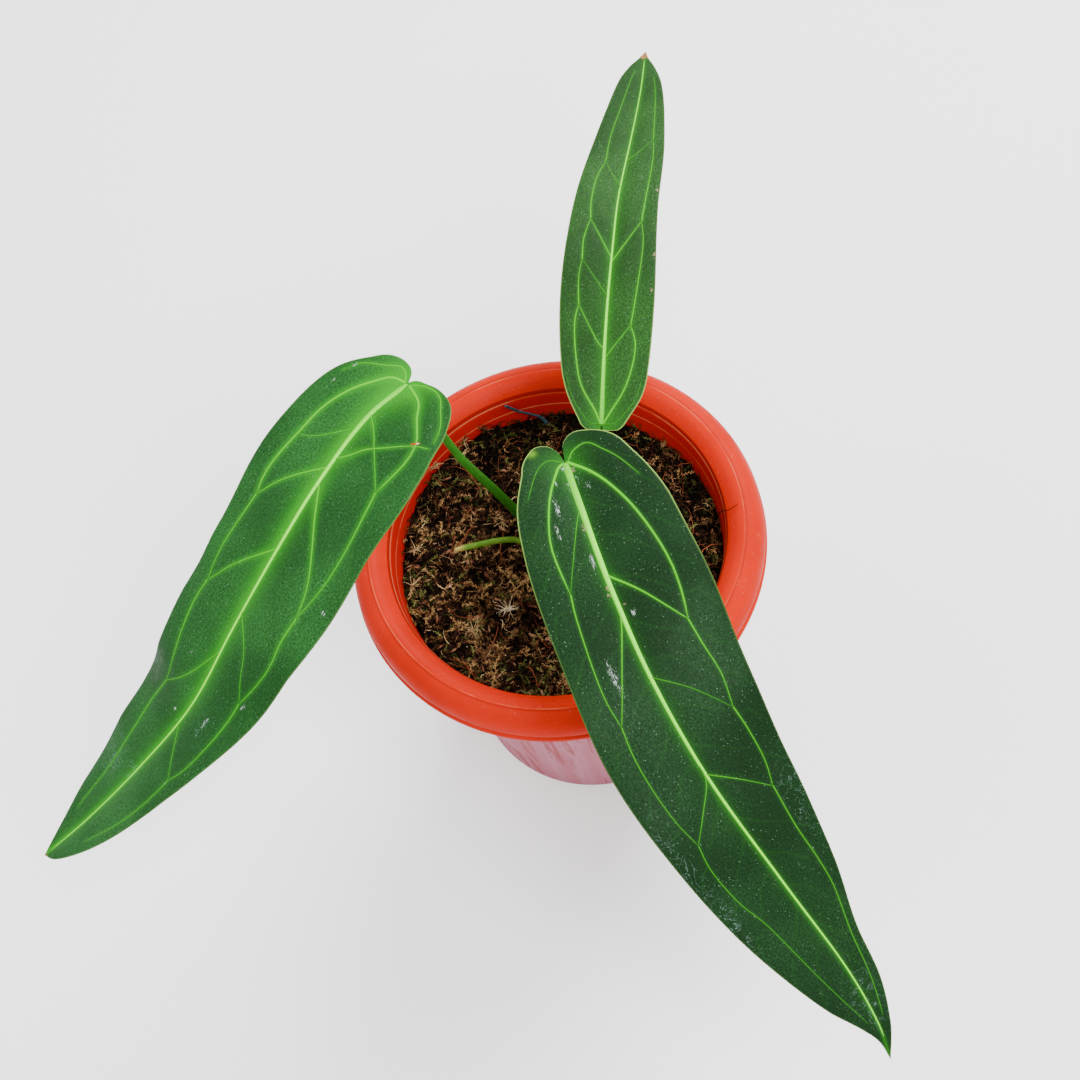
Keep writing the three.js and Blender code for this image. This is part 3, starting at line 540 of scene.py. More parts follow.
class LeafSurface:
    """One leaf as a surface of two parameters: q mm along the midrib from the stalk, w mm across from it."""

    def __init__(self, leaf):
        self.leaf = leaf
        self.points = smooth_route(leaf["midrib"], 400)
        self.along = np.concatenate([[0], np.cumsum(np.linalg.norm(np.diff(self.points, axis=0), axis=1))])
        self.tangents = unit(np.gradient(self.points, self.along, axis=0))
        self.length = self.along[-1]

    def place(self, q, w, side):
        """The point (q, w) on the right (side 1) or left (side -1), and the normal there. Each half leaves
        the midrib at the fold angle and bends down on a circle; its margin waves; behind the stalk it runs
        straight back and sinks with the square of the distance."""
        q, w = np.asarray(q, float), np.asarray(w, float)
        on = np.clip(q, 0, self.length)
        centre = np.stack([np.interp(on, self.along, self.points[:, n]) for n in range(3)], -1)
        along = unit(np.stack([np.interp(on, self.along, self.tangents[:, n]) for n in range(3)], -1))
        level = unit(np.cross(along, [0.0, 0.0, 1.0]))
        above = np.cross(level, along)
        roll = np.radians(self.leaf["roll"])
        across = level * np.cos(roll) + above * np.sin(roll)
        up = above * np.cos(roll) - level * np.sin(roll)
        behind = np.minimum(q, 0)
        fold = np.radians(through(FOLD, on / self.length))
        turn = fold - w / CURL_RADIUS
        out = CURL_RADIUS * (np.sin(fold) - np.sin(turn))
        wave = WAVE_HEIGHT * np.sin(2 * np.pi * q / WAVE_LENGTH + side) * np.minimum(w / 30, 1) ** 2
        rise = CURL_RADIUS * (np.cos(turn) - np.cos(fold)) + wave - LOBE_DROP * behind**2
        point = centre + along * behind[..., None] + across * (side * out)[..., None] + up * rise[..., None]
        turn = np.where(w > 1e-6, turn, 0.0)
        normal = up * np.cos(turn)[..., None] - across * (side * np.sin(turn))[..., None]
        return point, normal

    def half_width(self, q, side):
        """Distance from the midrib to the margin."""
        return through(self.leaf["right" if side > 0 else "left"], np.asarray(q, float) / self.length)

    def faint_routes(self, side):
        """Small side veins: some from the midrib to the collecting vein, others on from there to the margin.
        Each is a run of three places, with a bend that swings as a sine from vein to vein."""
        routes = []
        for i, start in enumerate(np.arange(0.02, 0.93, 0.062) + 0.013 * side):
            bend = 0.012 * np.sin(2.3 * i + side)
            for shares in ([(start, 0.02), (start + 0.02 + bend, 0.3), (start + 0.05, 0.58)],
                           [(start, 0.68), (start + 0.012 - bend, 0.82), (start + 0.035, 0.95)]):
                share, out = np.array(shares).T
                q = share * self.length
                routes.append((q, out * self.half_width(q, side)))
        return routes

    def vein_routes(self, side, count):
        """The routes of one side's veins as (width, strength, q, w) with q and w in mm."""
        routes = []
        for width, strength, shares in self.leaf["right_veins" if side > 0 else "left_veins"]:
            share, out = smooth_route(shares, count).T
            q = share * self.length
            w = out * self.half_width(np.maximum(q, 0), side)
            routes.append((width, strength, q, w))
        return routes


def distance_to(q, w, route_q, route_w):
    """Distance in mm from each point (q, w) to a route of straight segments, in the leaf's own plane, and
    the share along the route of the nearest place."""
    a = np.stack([route_q[:-1], route_w[:-1]], -1)
    b = np.stack([route_q[1:], route_w[1:]], -1)
    p = np.stack([q, w], -1)[:, None]
    run = b - a
    t = np.clip(((p - a) * run).sum(-1) / np.maximum((run**2).sum(-1), 1e-9), 0, 1)
    gap = np.linalg.norm(p - (a + run * t[..., None]), axis=-1)
    nearest = gap.argmin(axis=1)
    row = np.arange(len(q))
    return gap[row, nearest], (nearest + t[row, nearest]) / len(a)


# Node trees

class Graph:
    """Adds nodes to a tree. An input given as another node's output is linked, and any other is set."""

    def __init__(self, tree):
        self.tree = tree

    def add(self, kind, inputs=None, **settings):
        """A node of a kind with its settings and inputs."""
        node = self.tree.nodes.new(kind)
        for name, value in settings.items():
            setattr(node, name, value)
        for name, value in (inputs or {}).items():
            self.feed(node.inputs[name], value)
        return node

    def feed(self, socket, value):
        """Links an output to the socket, or sets a plain value there."""
        if isinstance(value, bpy.types.NodeSocket):
            self.tree.links.new(value, socket)
        else:
            socket.default_value = colour(value) if socket.type == "RGBA" else value

    def maths(self, operation, a, b=0.0, clamp=False):
        """The outcome of one operation on two values."""
        return self.add("ShaderNodeMath", {0: a, 1: b}, operation=operation, use_clamp=clamp).outputs[0]

    def plus(self, a, b):
        """The sum a + b."""
        return self.maths("ADD", a, b)

    def times(self, value, *others):
        """The value multiplied by each of the others in turn."""
        for other in others:
            value = self.maths("MULTIPLY", value, other)
        return value

    def away(self, value, middle):
        """How far a value is from a middle one, without its sign."""
        return self.maths("ABSOLUTE", self.maths("SUBTRACT", value, middle))

    def steps(self, value, low, high, to_low=0.0, to_high=1.0):
        """Value carried smoothly from low..high to to_low..to_high, and held outside."""
        node = self.add("ShaderNodeMapRange", {"Value": value, "From Min": low, "From Max": high,
                                               "To Min": to_low, "To Max": to_high})
        node.interpolation_type = "SMOOTHSTEP"
        return node.outputs["Result"]

    def mix(self, factor, a, b):
        """The colour a where the factor is 0, b where it is 1, and a blend between."""
        node = self.add("ShaderNodeMix", data_type="RGBA", blend_type="MIX", clamp_factor=True)
        for place, value in ((0, factor), (6, a), (7, b)):
            self.feed(node.inputs[place], value)
        return node.outputs[2]

    def coats(self, under, *layers):
        """Colours laid over one another in turn, each as (mask, strength, colour)."""
        for mask, strength, over in layers:
            under = self.mix(mask if strength == 1 else self.times(mask, strength), under, over)
        return under

    def noise(self, place, scale, detail=2.0, roughness=0.5, distortion=0.0):
        """Smooth noise around 0.5."""
        return self.add("ShaderNodeTexNoise", {"Vector": place, "Scale": scale, "Detail": detail,
                                               "Roughness": roughness, "Distortion": distortion}).outputs[0]

    def stretched(self, place, x, y, z):
        """The place with each axis scaled, so that a pattern is drawn out along the axes of small scale."""
        return self.add("ShaderNodeMapping", {"Vector": place, "Scale": (x, y, z)}).outputs[0]

    def attribute(self, name, output="Fac"):
        """A value that the mesh holds at its points."""
        return self.add("ShaderNodeAttribute", attribute_name=name).outputs[output]

    def object_place(self):
        """The place on the object, in metres."""
        return self.add("ShaderNodeTexCoord").outputs["Object"]


def colour(rgb):
    """A colour with its alpha, for a socket."""
    return (*rgb[:3], 1.0)


def new_group(name, inputs, output, kind):
    """A node group with named inputs, given as (name, socket type, value), and one output. Gives the
    group, its graph, its input sockets by name and the socket to feed."""
    group = bpy.data.node_groups.new(name, "ShaderNodeTree")
    for label, socket_type, value in inputs:
        socket = group.interface.new_socket(label, in_out="INPUT", socket_type=socket_type)
        if value is not None:
            socket.default_value = value
    group.interface.new_socket(output, in_out="OUTPUT", socket_type=kind)
    graph = Graph(group)
    given = graph.add("NodeGroupInput").outputs
    wanted = graph.add("NodeGroupOutput").inputs[0]
    return group, graph, given, wanted


def mottle_group():
    """Soft patches: one colour drifts into another."""
    inputs = [("Place", "NodeSocketVector", None), ("Scale", "NodeSocketFloat", 40.0),
              ("Colour A", "NodeSocketColor", (1, 1, 1, 1)), ("Colour B", "NodeSocketColor", (0, 0, 0, 1)),
              ("Amount", "NodeSocketFloat", 1.0)]
    group, graph, given, wanted = new_group("mottled_colour", inputs, "Colour", "NodeSocketColor")
    patches = graph.steps(graph.noise(given["Place"], given["Scale"], 4.0, 0.6), 0.35, 0.68)
    drift = graph.times(patches, given["Amount"])
    graph.feed(wanted, graph.mix(drift, given["Colour A"], given["Colour B"]))
    return group


def speck_group():
    """Sparse round specks: cells of a Voronoi pattern, of which only a share get a dot."""
    inputs = [("Place", "NodeSocketVector", None), ("Scale", "NodeSocketFloat", 400.0),
              ("Size", "NodeSocketFloat", 0.2), ("Share", "NodeSocketFloat", 0.3)]
    group, graph, given, wanted = new_group("sparse_specks", inputs, "Mask", "NodeSocketFloat")
    cells = graph.add("ShaderNodeTexVoronoi", {"Vector": given["Place"], "Scale": given["Scale"]})
    dot = graph.steps(cells.outputs["Distance"], given["Size"], 0.0)
    pick = graph.add("ShaderNodeSeparateColor", {0: cells.outputs["Color"]}).outputs[0]
    graph.feed(wanted, graph.times(dot, graph.maths("LESS_THAN", pick, given["Share"])))
    return group


def scratch_group():
    """Fine broken scratches: thin bands where a noise crosses its middle, kept in a few patches."""
    inputs = [("Place", "NodeSocketVector", None), ("Scale", "NodeSocketFloat", 30.0),
              ("Width", "NodeSocketFloat", 0.02), ("Patches", "NodeSocketFloat", 0.55)]
    group, graph, given, wanted = new_group("broken_scratches", inputs, "Mask", "NodeSocketFloat")
    field = graph.noise(given["Place"], given["Scale"], 2.0, 0.5, 0.4)
    line = graph.steps(graph.away(field, 0.5), given["Width"], 0.0)
    broad = graph.noise(given["Place"], graph.times(given["Scale"], 0.6), 1.0)
    graph.feed(wanted, graph.times(line, graph.maths("GREATER_THAN", broad, given["Patches"])))
    return group


def grain_group():
    """Fine relief: a rough noise over a soft one, as a height from 0 to 1."""
    inputs = [("Place", "NodeSocketVector", None), ("Scale", "NodeSocketFloat", 900.0)]
    group, graph, given, wanted = new_group("fine_grain", inputs, "Height", "NodeSocketFloat")
    fine = graph.noise(given["Place"], given["Scale"], 3.0, 0.6)
    broad = graph.noise(given["Place"], graph.times(given["Scale"], 0.2), 2.0)
    graph.feed(wanted, graph.plus(graph.times(fine, 0.6), graph.times(broad, 0.4)))
    return group


EFFECTS = {}
EFFECT_MAKERS = {"mottled_colour": mottle_group, "sparse_specks": speck_group,
                 "broken_scratches": scratch_group, "fine_grain": grain_group}


def effect(graph, name, **inputs):
    """One of the shared effects, placed in a material with its own values."""
    if name not in EFFECTS:
        EFFECTS[name] = EFFECT_MAKERS[name]()
    node = graph.add("ShaderNodeGroup", node_tree=EFFECTS[name])
    for label, value in inputs.items():
        graph.feed(node.inputs[label.replace("_", " ")], value)
    return node.outputs[0]


def new_material(name):
    """A material with a Principled shader. Gives the material, its graph and the shader's inputs."""
    material = bpy.data.materials.new(name)
    material.use_nodes = True
    material.node_tree.nodes.clear()
    graph = Graph(material.node_tree)
    shader = graph.add("ShaderNodeBsdfPrincipled")
    graph.add("ShaderNodeOutputMaterial", {"Surface": shader.outputs[0]})
    return material, graph, shader.inputs


def dress(graph, shader, base, rough, shine, relief=None):
    """Gives the shader its colour, roughness, shine and relief, as (height, distance in m, strength)."""
    graph.feed(shader["Base Color"], base)
    graph.feed(shader["Roughness"], rough)
    shader["Specular IOR Level"].default_value = shine
    if relief:
        height, distance, strength = relief
        bump = graph.add("ShaderNodeBump", {"Height": height, "Distance": distance, "Strength": strength})
        graph.feed(shader["Normal"], bump.outputs[0])


# Materials

def pot_material(pot):
    """Satin moulded plastic: mottled red, a dark crease and worn pale lines on the rim, drop marks, dirt by
    the soil, and a lower wall bleached to pink with darker streaks running down. A dark red band on the
    rim's inner slope and a deeper red on the inner wall are painted shade."""
    material, graph, shader = new_material("moulded_plastic")
    place = graph.object_place()
    x, y, z = graph.add("ShaderNodeSeparateXYZ", {0: place}).outputs
    radius = graph.maths("SQRT", graph.plus(graph.times(x, x), graph.times(y, y)))
    outside = graph.maths("GREATER_THAN", radius, graph.plus(graph.times(z, WALL_LEAN), WALL_PARTING))
    not_outside = graph.maths("SUBTRACT", 1.0, outside)
    body = effect(graph, "mottled_colour", Place=place, Scale=26.0, Colour_A=pot.red, Colour_B=pot.red_deep,
                  Amount=0.35)

    around = graph.add("ShaderNodeCombineXYZ", {0: graph.maths("DIVIDE", x, radius),
                                                1: graph.maths("DIVIDE", y, radius),
                                                2: graph.times(z, 0.9)}).outputs[0]
    streaks = graph.steps(graph.noise(around, 14.0, 4.0, 0.6, 0.3), 0.5, 0.62, 0.0, 0.75)
    pale = effect(graph, "mottled_colour", Place=around, Scale=7.0, Colour_A=pot.faded,
                  Colour_B=(0.42, 0.2, 0.27), Amount=0.8)
    bleached = graph.mix(streaks, pale, (0.25, 0.06, 0.055))
    lower = graph.times(outside, graph.steps(z, (POT_HEIGHT - 16) * MM, (POT_HEIGHT - 30) * MM))
    inside = graph.times(graph.steps(radius, (RIM_INNER - 0.1) * MM, (RIM_INNER - 0.4) * MM), not_outside)
    crease = graph.steps(graph.away(radius, CREASE * MM), 0.0008, 0.0, 0.0, 0.4)

    crown_line = graph.steps(graph.away(radius, CROWN_LINE * MM), 0.00035, 0.0)
    lip_line = graph.steps(graph.away(z, LIP_LINE * MM), 0.0006, 0.0002)
    wall_line = graph.steps(graph.away(z, WALL_LINE * MM), 0.0006, 0.0002)
    wall_lines = graph.times(graph.maths("MAXIMUM", lip_line, wall_line), inside, 0.85)
    breaks = graph.steps(graph.noise(place, 38.0, 4.0, 0.7), 0.42, 0.58, 0.15, 1.0)
    broken = graph.steps(graph.noise(place, 60.0, 3.0, 0.6), 0.36, 0.5, 0.35, 1.0)
    worn = graph.times(crown_line, breaks, 0.5)
    worn = graph.maths("MAXIMUM", worn, graph.times(wall_lines, broken))
    scratches = effect(graph, "broken_scratches", Place=graph.stretched(place, 1.0, 0.25, 2.5), Scale=90.0,
                       Width=0.006, Patches=0.62)
    worn = graph.maths("MAXIMUM", worn, graph.times(scratches, 0.16))

    # Painted shade: the rim's inner slope beside the lip turns dark red, fully above the lip line and a
    # quarter as much below it
    within = graph.steps(radius, (RIM_INNER + 5) * MM, (RIM_INNER + 0.2) * MM, 0.0, 0.6)
    above = graph.steps(z, LIP_LINE * MM, (LIP_LINE + 0.8) * MM, 0.25, 1.0)
    drops = effect(graph, "sparse_specks", Place=place, Scale=70.0, Size=0.1, Share=0.12)
    soil_line = graph.steps(z, (SOIL_TOP + 6) * MM, (SOIL_TOP + 0.5) * MM)
    clotted = graph.steps(graph.noise(place, 260.0, 4.0, 0.7), 0.46, 0.62)
    dirt = graph.times(inside, soil_line, clotted)
    dust = graph.steps(graph.noise(place, 900.0, 2.0), 0.66, 0.74, 0.0, 0.1)
    body = graph.coats(body,
                       (lower, 0.92, bleached),
                       # Painted shade: the pot's inner wall takes a deeper red than the rest of the pot
                       (inside, 0.85, (0.46, 0.0055, 0.0035)),
                       (crease, 1, (0.2, 0.004, 0.0004)),
                       (worn, 1, pot.scuff),
                       # Painted shade on the rim's inner slope
                       (graph.times(within, above, not_outside), 1, (0.16, 0.003, 0.0003)),
                       (drops, 0.8, (0.1, 0.002, 0.001)),
                       (dirt, 0.85, (0.03, 0.024, 0.01)),
                       (dust, 1, (0.5, 0.3, 0.25)))

    rough = graph.steps(graph.noise(place, 60.0, 3.0), 0.3, 0.7, 0.4, 0.55)
    rough = graph.plus(graph.plus(rough, graph.times(lower, 0.3)), graph.times(dirt, 0.4))
    relief = graph.plus(effect(graph, "fine_grain", Place=place, Scale=1500.0), graph.times(drops, 2.0))
    dress(graph, shader, body, rough, 0.04, (relief, 0.00006, 0.6))
    return material


def blade_material(name, leaves, base, halo_strength, slit):
    """A velvety blade: two greens in soft patches with a fine grain, pale halos and veins, a painted
    highlight along one side of the midrib's crest, specks of dust, white scars, tan scabs, thin pale trails,
    a pale edge, a paler underside and a dry tip."""
    material, graph, shader = new_material(name)
    place = graph.attribute("leaf_place", "Vector")
    light = (base[0] * 2.7, base[1] * 2.3, base[2] * 2.1)
    green = effect(graph, "mottled_colour", Place=place, Scale=0.05, Colour_A=base,
                   Colour_B=[0.6 * c for c in base], Amount=0.7)
    green = effect(graph, "mottled_colour", Place=place, Scale=1.2, Colour_A=green, Colour_B=light,
                   Amount=0.8)
    cloud = graph.steps(graph.noise(place, 0.022, 2.0), 0.35, 0.65, 0.0, 0.55)
    grainy = graph.steps(graph.noise(place, 1.6, 3.0, 0.7), 0.3, 0.7, 0.68, 1.1)
    halo = graph.maths("MULTIPLY", graph.times(graph.attribute("halo"), grainy), halo_strength, clamp=True)
    grainy_crest = graph.steps(graph.noise(place, 1.3, 4.0, 0.7), 0.25, 0.65, 0.5, 1.0)
    green = graph.coats(green,
                        (cloud, 1, [0.45 * c for c in base]),
                        (graph.attribute("faint"), 0.05, leaves.halo),
                        (halo, 1, leaves.halo),
                        (graph.maths("POWER", graph.attribute("vein"), 1.9), 1, leaves.vein),
                        # Painted highlight along one side of the midrib's crest, broken by grain
                        (graph.times(graph.attribute("rib"), grainy_crest), 1, leaves.rib))

    specks = effect(graph, "sparse_specks", Place=place, Scale=0.8, Size=0.2, Share=0.6)
    cluster = graph.steps(graph.noise(place, 0.1, 2.0), 0.35, 0.65, 0.35, 1.0)
    bright_specks = effect(graph, "sparse_specks", Place=place, Scale=0.55, Size=0.11, Share=0.32)
    flecks = graph.noise(graph.stretched(place, 0.3, 1.2, 1.0), 1.5, 5.0, 0.75)
    scar = graph.attribute("scar")
    scarred = graph.steps(graph.plus(flecks, graph.times(scar, 0.3)), 0.74, 0.86)
    scarred = graph.times(scarred, graph.steps(scar, 0.05, 0.4))
    scab = graph.attribute("scab")
    crust = graph.steps(graph.plus(graph.noise(place, 1.4, 4.0, 0.7), graph.times(scab, 0.32)), 0.7, 0.8)
    crust = graph.times(crust, graph.steps(scab, 0.05, 0.3))
    thin = graph.steps(graph.away(graph.noise(place, 0.13, 3.0, 0.6, 1.2), 0.5), 0.009, 0.001)
    green = graph.coats(green,
                        (graph.times(specks, cluster), 0.5, (0.2, 0.4, 0.24)),
                        (bright_specks, 0.7, (0.42, 0.58, 0.42)),
                        (scarred, 0.85, (0.42, 0.5, 0.44)),
                        (crust, 0.8, (0.3, 0.2, 0.12)),
                        (graph.times(thin, graph.attribute("trail")), 0.6, (0.16, 0.24, 0.22)),
                        (graph.attribute("glow"), 0.7, (0.12, 0.3, 0.01)),
                        (graph.attribute("edge"), 1, (0.36, 0.6, 0.12)))
    green = graph.mix(graph.attribute("under"), green, graph.mix(0.62, green, (0.05, 0.12, 0.02)))
    if slit:
        green = torn(graph, place, green, slit)
    ragged = graph.steps(graph.noise(place, 0.6, 3.0), 0.3, 0.7, -0.25, 0.25)
    ragged = graph.plus(graph.attribute("dry"), ragged)
    green = graph.coats(green,
                        (graph.steps(ragged, 0.42, 0.58), 1, (0.24, 0.11, 0.035)),
                        (graph.steps(ragged, 0.95, 1.15), 1, (0.05, 0.02, 0.01)))

    rough = graph.steps(graph.noise(place, 0.4, 3.0), 0.3, 0.7, 0.42, 0.56)
    relief = graph.plus(effect(graph, "fine_grain", Place=place, Scale=2.4), graph.times(scarred, 0.8))
    dress(graph, shader, green, rough, 0.05, (relief, 0.00014, 0.8))
    return material


def torn(graph, place, green, slit):
    """A short slit: an ellipse about the line between two places (q, across), red, and white at one end."""
    (q, across), (end_q, end_across) = slit
    run_q, run_across = end_q - q, end_across - across
    half = float(np.hypot(run_q, run_across)) / 2
    middle = (q + run_q / 2, across + run_across / 2, 0)
    turn = (0, 0, float(np.arctan2(run_across, run_q)))
    local = graph.add("ShaderNodeMapping", {"Vector": place, "Location": middle, "Rotation": turn,
                                            "Scale": (half, 0.42, 1000)}, vector_type="TEXTURE").outputs[0]
    reach = graph.add("ShaderNodeVectorMath", {0: local}, operation="LENGTH").outputs["Value"]
    ahead = graph.add("ShaderNodeSeparateXYZ", {0: local}).outputs[0]
    ragged = graph.plus(reach, graph.steps(graph.noise(place, 2.2, 3.0, 0.7), 0.3, 0.7, -0.25, 0.25))
    pale = graph.times(graph.steps(ragged, 0.75, 0.5), graph.steps(ahead, 0.0, 0.2))
    return graph.coats(green,
                       (graph.steps(ragged, 1.1, 0.85), 1, (0.32, 0.02, 0.006)),
                       (pale, 1, (0.75, 0.66, 0.58)))


def stalk_material(leaves):
    """Smooth plant skin: bright green with paler flecks and fine long lines, browner down by the crown."""
    material, graph, shader = new_material("stalk_skin")
    place = graph.object_place()
    lines = graph.noise(graph.stretched(place, 1, 1, 0.08), 900.0, 3.0, 0.6)
    flecks = effect(graph, "sparse_specks", Place=place, Scale=520.0, Size=0.22, Share=0.3)
    brown = graph.times(graph.steps(graph.attribute("share"), 0.25, 0.05),
                        graph.steps(graph.noise(place, 120.0, 3.0), 0.4, 0.6))
    green = graph.coats(leaves.stalk,
                        (graph.steps(lines, 0.35, 0.7, 0.0, 0.6), 1, (0.022, 0.14, 0.006)),
                        (flecks, 0.5, (0.06, 0.2, 0.03)),
                        (brown, 0.7, (0.04, 0.035, 0.012)))
    dress(graph, shader, green, graph.steps(lines, 0.3, 0.7, 0.36, 0.5), 0.12, (lines, 0.0002, 0.6))
    return material


def stock_material():
    """The stock of the stem and its sheaths: papery brown over green, with rings and rough patches."""
    material, graph, shader = new_material("stem_bark")
    place = graph.object_place()
    rings = graph.noise(graph.stretched(place, 1, 1, 6.0), 90.0, 4.0, 0.65)
    living = graph.steps(graph.noise(place, 110.0, 3.0), 0.5, 0.62, 0.0, 0.75)
    brown = graph.coats((0.06, 0.03, 0.012),
                        (graph.steps(rings, 0.35, 0.65), 1, (0.14, 0.1, 0.045)),
                        (living, 1, (0.035, 0.1, 0.012)))
    dress(graph, shader, brown, graph.steps(rings, 0.3, 0.7, 0.6, 0.85), 0.5, (rings, 0.0006, 0.8))
    return material


def root_material():
    """A fleshy root: yellow-green with fine hairs of grey, turning pale tan at its pointed tip."""
    material, graph, shader = new_material("root_skin")
    place = graph.object_place()
    green = effect(graph, "mottled_colour", Place=place, Scale=240.0, Colour_A=(0.055, 0.14, 0.008),
                   Colour_B=(0.1, 0.18, 0.016), Amount=1.0)
    worn = graph.steps(graph.noise(place, 1500.0, 3.0), 0.5, 0.66, 0.0, 0.2)
    green = graph.coats(green,
                        (worn, 1, (0.13, 0.2, 0.05)),
                        (graph.steps(graph.attribute("share"), 0.86, 0.97), 1, (0.34, 0.27, 0.06)))
    grain = effect(graph, "fine_grain", Place=place, Scale=2600.0)
    dress(graph, shader, green, graph.steps(worn, 0.0, 0.3, 0.45, 0.7), 0.08, (grain, 0.00025, 0.8))
    return material


def tie_material():
    """Weathered blue-grey plastic with lighter rubbed streaks along it."""
    material, graph, shader = new_material("weathered_tie")
    rubbed = graph.noise(graph.stretched(graph.object_place(), 0.2, 1, 1), 900.0, 4.0, 0.7)
    blue = graph.mix(graph.steps(rubbed, 0.45, 0.7), (0.018, 0.042, 0.06), (0.07, 0.125, 0.16))
    dress(graph, shader, blue, graph.steps(rubbed, 0.3, 0.7, 0.35, 0.65), 0.5, (rubbed, 0.0002, 0.6))
    return material


def litter_material(name, colours, spread, roughness):
    """Loose bits: each has its own tint, from 0 to 1, along a row of colours, and is mottled within
    itself. Bits on one side of the pot are a little darker."""
    material, graph, shader = new_material(name)
    place = graph.object_place()
    drift = graph.steps(graph.noise(place, 620.0, 3.0, 0.65), 0.3, 0.7, -spread, spread)
    patches = graph.steps(graph.noise(place, 85.0, 3.0), 0.35, 0.65, -0.26, 0.22)
    lean = graph.add("ShaderNodeVectorMath", {0: place, 1: (0.6, 0.8, 0.0)}, operation="DOT_PRODUCT")
    drift = graph.plus(drift, graph.steps(lean.outputs["Value"], -0.06, 0.06, 0.12, -0.14))
    shade = graph.plus(graph.plus(graph.attribute("tint"), drift), patches)
    ramp = graph.add("ShaderNodeValToRGB", {"Fac": shade})
    elements = ramp.color_ramp.elements
    for _ in range(len(colours) - 2):
        elements.new(0.5)
    for i, rgb in enumerate(colours):
        elements[i].position = i / (len(colours) - 1)
        elements[i].color = colour(rgb)
    rough = graph.steps(graph.noise(place, 300.0, 2.0), 0.3, 0.7, roughness - 0.15, roughness)
    grain = effect(graph, "fine_grain", Place=place, Scale=3000.0)
    dress(graph, shader, ramp.outputs["Color"], rough, 0.06, (grain, 0.0003, 0.7))
    return material


def floor_material():
    """A plain pale floor with the faintest unevenness."""
    material, graph, shader = new_material("studio_floor")
    cloud = graph.noise(graph.object_place(), 6.0, 2.0)
    dress(graph, shader, graph.mix(cloud, (0.96, 0.96, 0.96), (0.98, 0.98, 0.98)), 0.9, 0.1)
    return material


# The pot

def wall_inside(z):
    """Inside radius of the tapered wall at a height: straight from the floor's edge to the wall's top."""
    return FOOT_INNER + (WALL_TOP_INNER - FOOT_INNER) * (z - FLOOR_TOP) / (WALL_TOP - FLOOR_TOP)


def wall_rows(low, high, out, count):
    """Points of a straight stretch of wall, from one height to another, so far out from its inner face."""
    z = np.linspace(low, high, count)
    return list(zip(wall_inside(z) + out, z))


def pot_outline():
    """The shell's closed outline, as (radius, height): under the floor, up the outside, over the rolled rim
    and down the inside."""
    r, h = RIM_RADIUS, POT_HEIGHT
    foot = [(0.01, 0), (12, 0), (12.7, 0.3), (13.2, 1.2), (14, FOOT_HEIGHT),
            (FOOT_RADIUS - 6.4, FOOT_HEIGHT), (FOOT_RADIUS - 5.8, FOOT_HEIGHT - 0.6),
            (FOOT_RADIUS - 5.2, 0.4), (FOOT_RADIUS - 4.8, 0), (FOOT_RADIUS - 1.2, 0),
            (FOOT_RADIUS - 0.4, 0.3), (FOOT_RADIUS, 1.2)]
    channel = [(RIM_INNER + 1.1, WALL_TOP + 1), (RIM_INNER + 3.4, h - 5.2), (r - 8.5, h - 2.4),
               (r - 5, h - 4.4), (r - 3.4, h - 8), (r - 2.6, h - 13.4)]
    bead = [(r - 2.4, h - 14), (r - 1.2, h - 14.6), (r - 0.2, h - 14.1), (r, h - 13.2), (r - 0.25, h - 12.1),
            (r - 1.0, h - 11.5)]
    roll = [(r - 1.0, h - 11.2), (r - 0.6, h - 9.4), (r - 0.75, h - 7.4), (r - 1.6, h - 5),
            (r - 3.1, h - 2.9), (r - 5.4, h - 1.1), (r - 8.5, h), (r - 11.5, h - 0.6),
            (RIM_INNER + 1.9, h - 2.4), (RIM_INNER, h - 4.3)]
    lip = [(RIM_INNER - 0.15, h - 4.6), (RIM_INNER - 0.5, h - 5.6), (WALL_TOP_INNER + 0.1, h - 7.8)]
    outer = wall_rows(6, WALL_TOP - 1, WALL, 40)
    inner = wall_rows(WALL_TOP, FLOOR_TOP + 1.5, 0.0, 40)
    floor = [(FOOT_INNER - 0.6, FLOOR_TOP + 0.3), (FOOT_INNER - 2, FLOOR_TOP), (0.01, FLOOR_TOP)]
    bends = [smooth_route(channel, 22), smooth_route(bead, 18), smooth_route(roll, 46)]
    return np.vstack([foot, outer, *bends, lip, inner, floor, foot[:1]])


def drain_cutters():
    """Round plugs for the drain holes, evenly spaced round a circle and reaching through the floor."""
    step = 2 * np.pi / DRAIN_HOLES
    heading = (np.arange(DRAIN_HOLES) + 0.5) * step
    foot = np.full(DRAIN_HOLES, FOOT_HEIGHT - 3)
    base = np.stack([DRAIN_CIRCLE * np.cos(heading), DRAIN_CIRCLE * np.sin(heading), foot], -1)
    routes = base[:, None] + UP * np.linspace(0, FLOOR_THICK + 6, 3)[None, :, None]
    points, faces, _ = round_tubes(routes, np.full((DRAIN_HOLES, 3), DRAIN_RADIUS), 32, away=(1, 0, 0))
    mesh = bpy.data.meshes.new("drain_cutters")
    mesh.from_pydata((points * MM).tolist(), [], faces.tolist())
    cutter = bpy.data.objects.new("drain_cutters", mesh)
    bpy.context.scene.collection.objects.link(cutter)
    return cutter


def cut_through(piece, cutter):
    """Takes the cutter's volume out of the piece for good, and deletes the cutter."""
    modifier = piece.modifiers.new("drain_holes", "BOOLEAN")
    modifier.operation = "DIFFERENCE"
    modifier.solver = "EXACT"
    modifier.object = cutter
    bpy.context.view_layer.update()
    final = bpy.data.meshes.new_from_object(piece.evaluated_get(bpy.context.evaluated_depsgraph_get()))
    piece.modifiers.clear()
    piece.data = final
    bpy.data.objects.remove(cutter)


# The growing medium

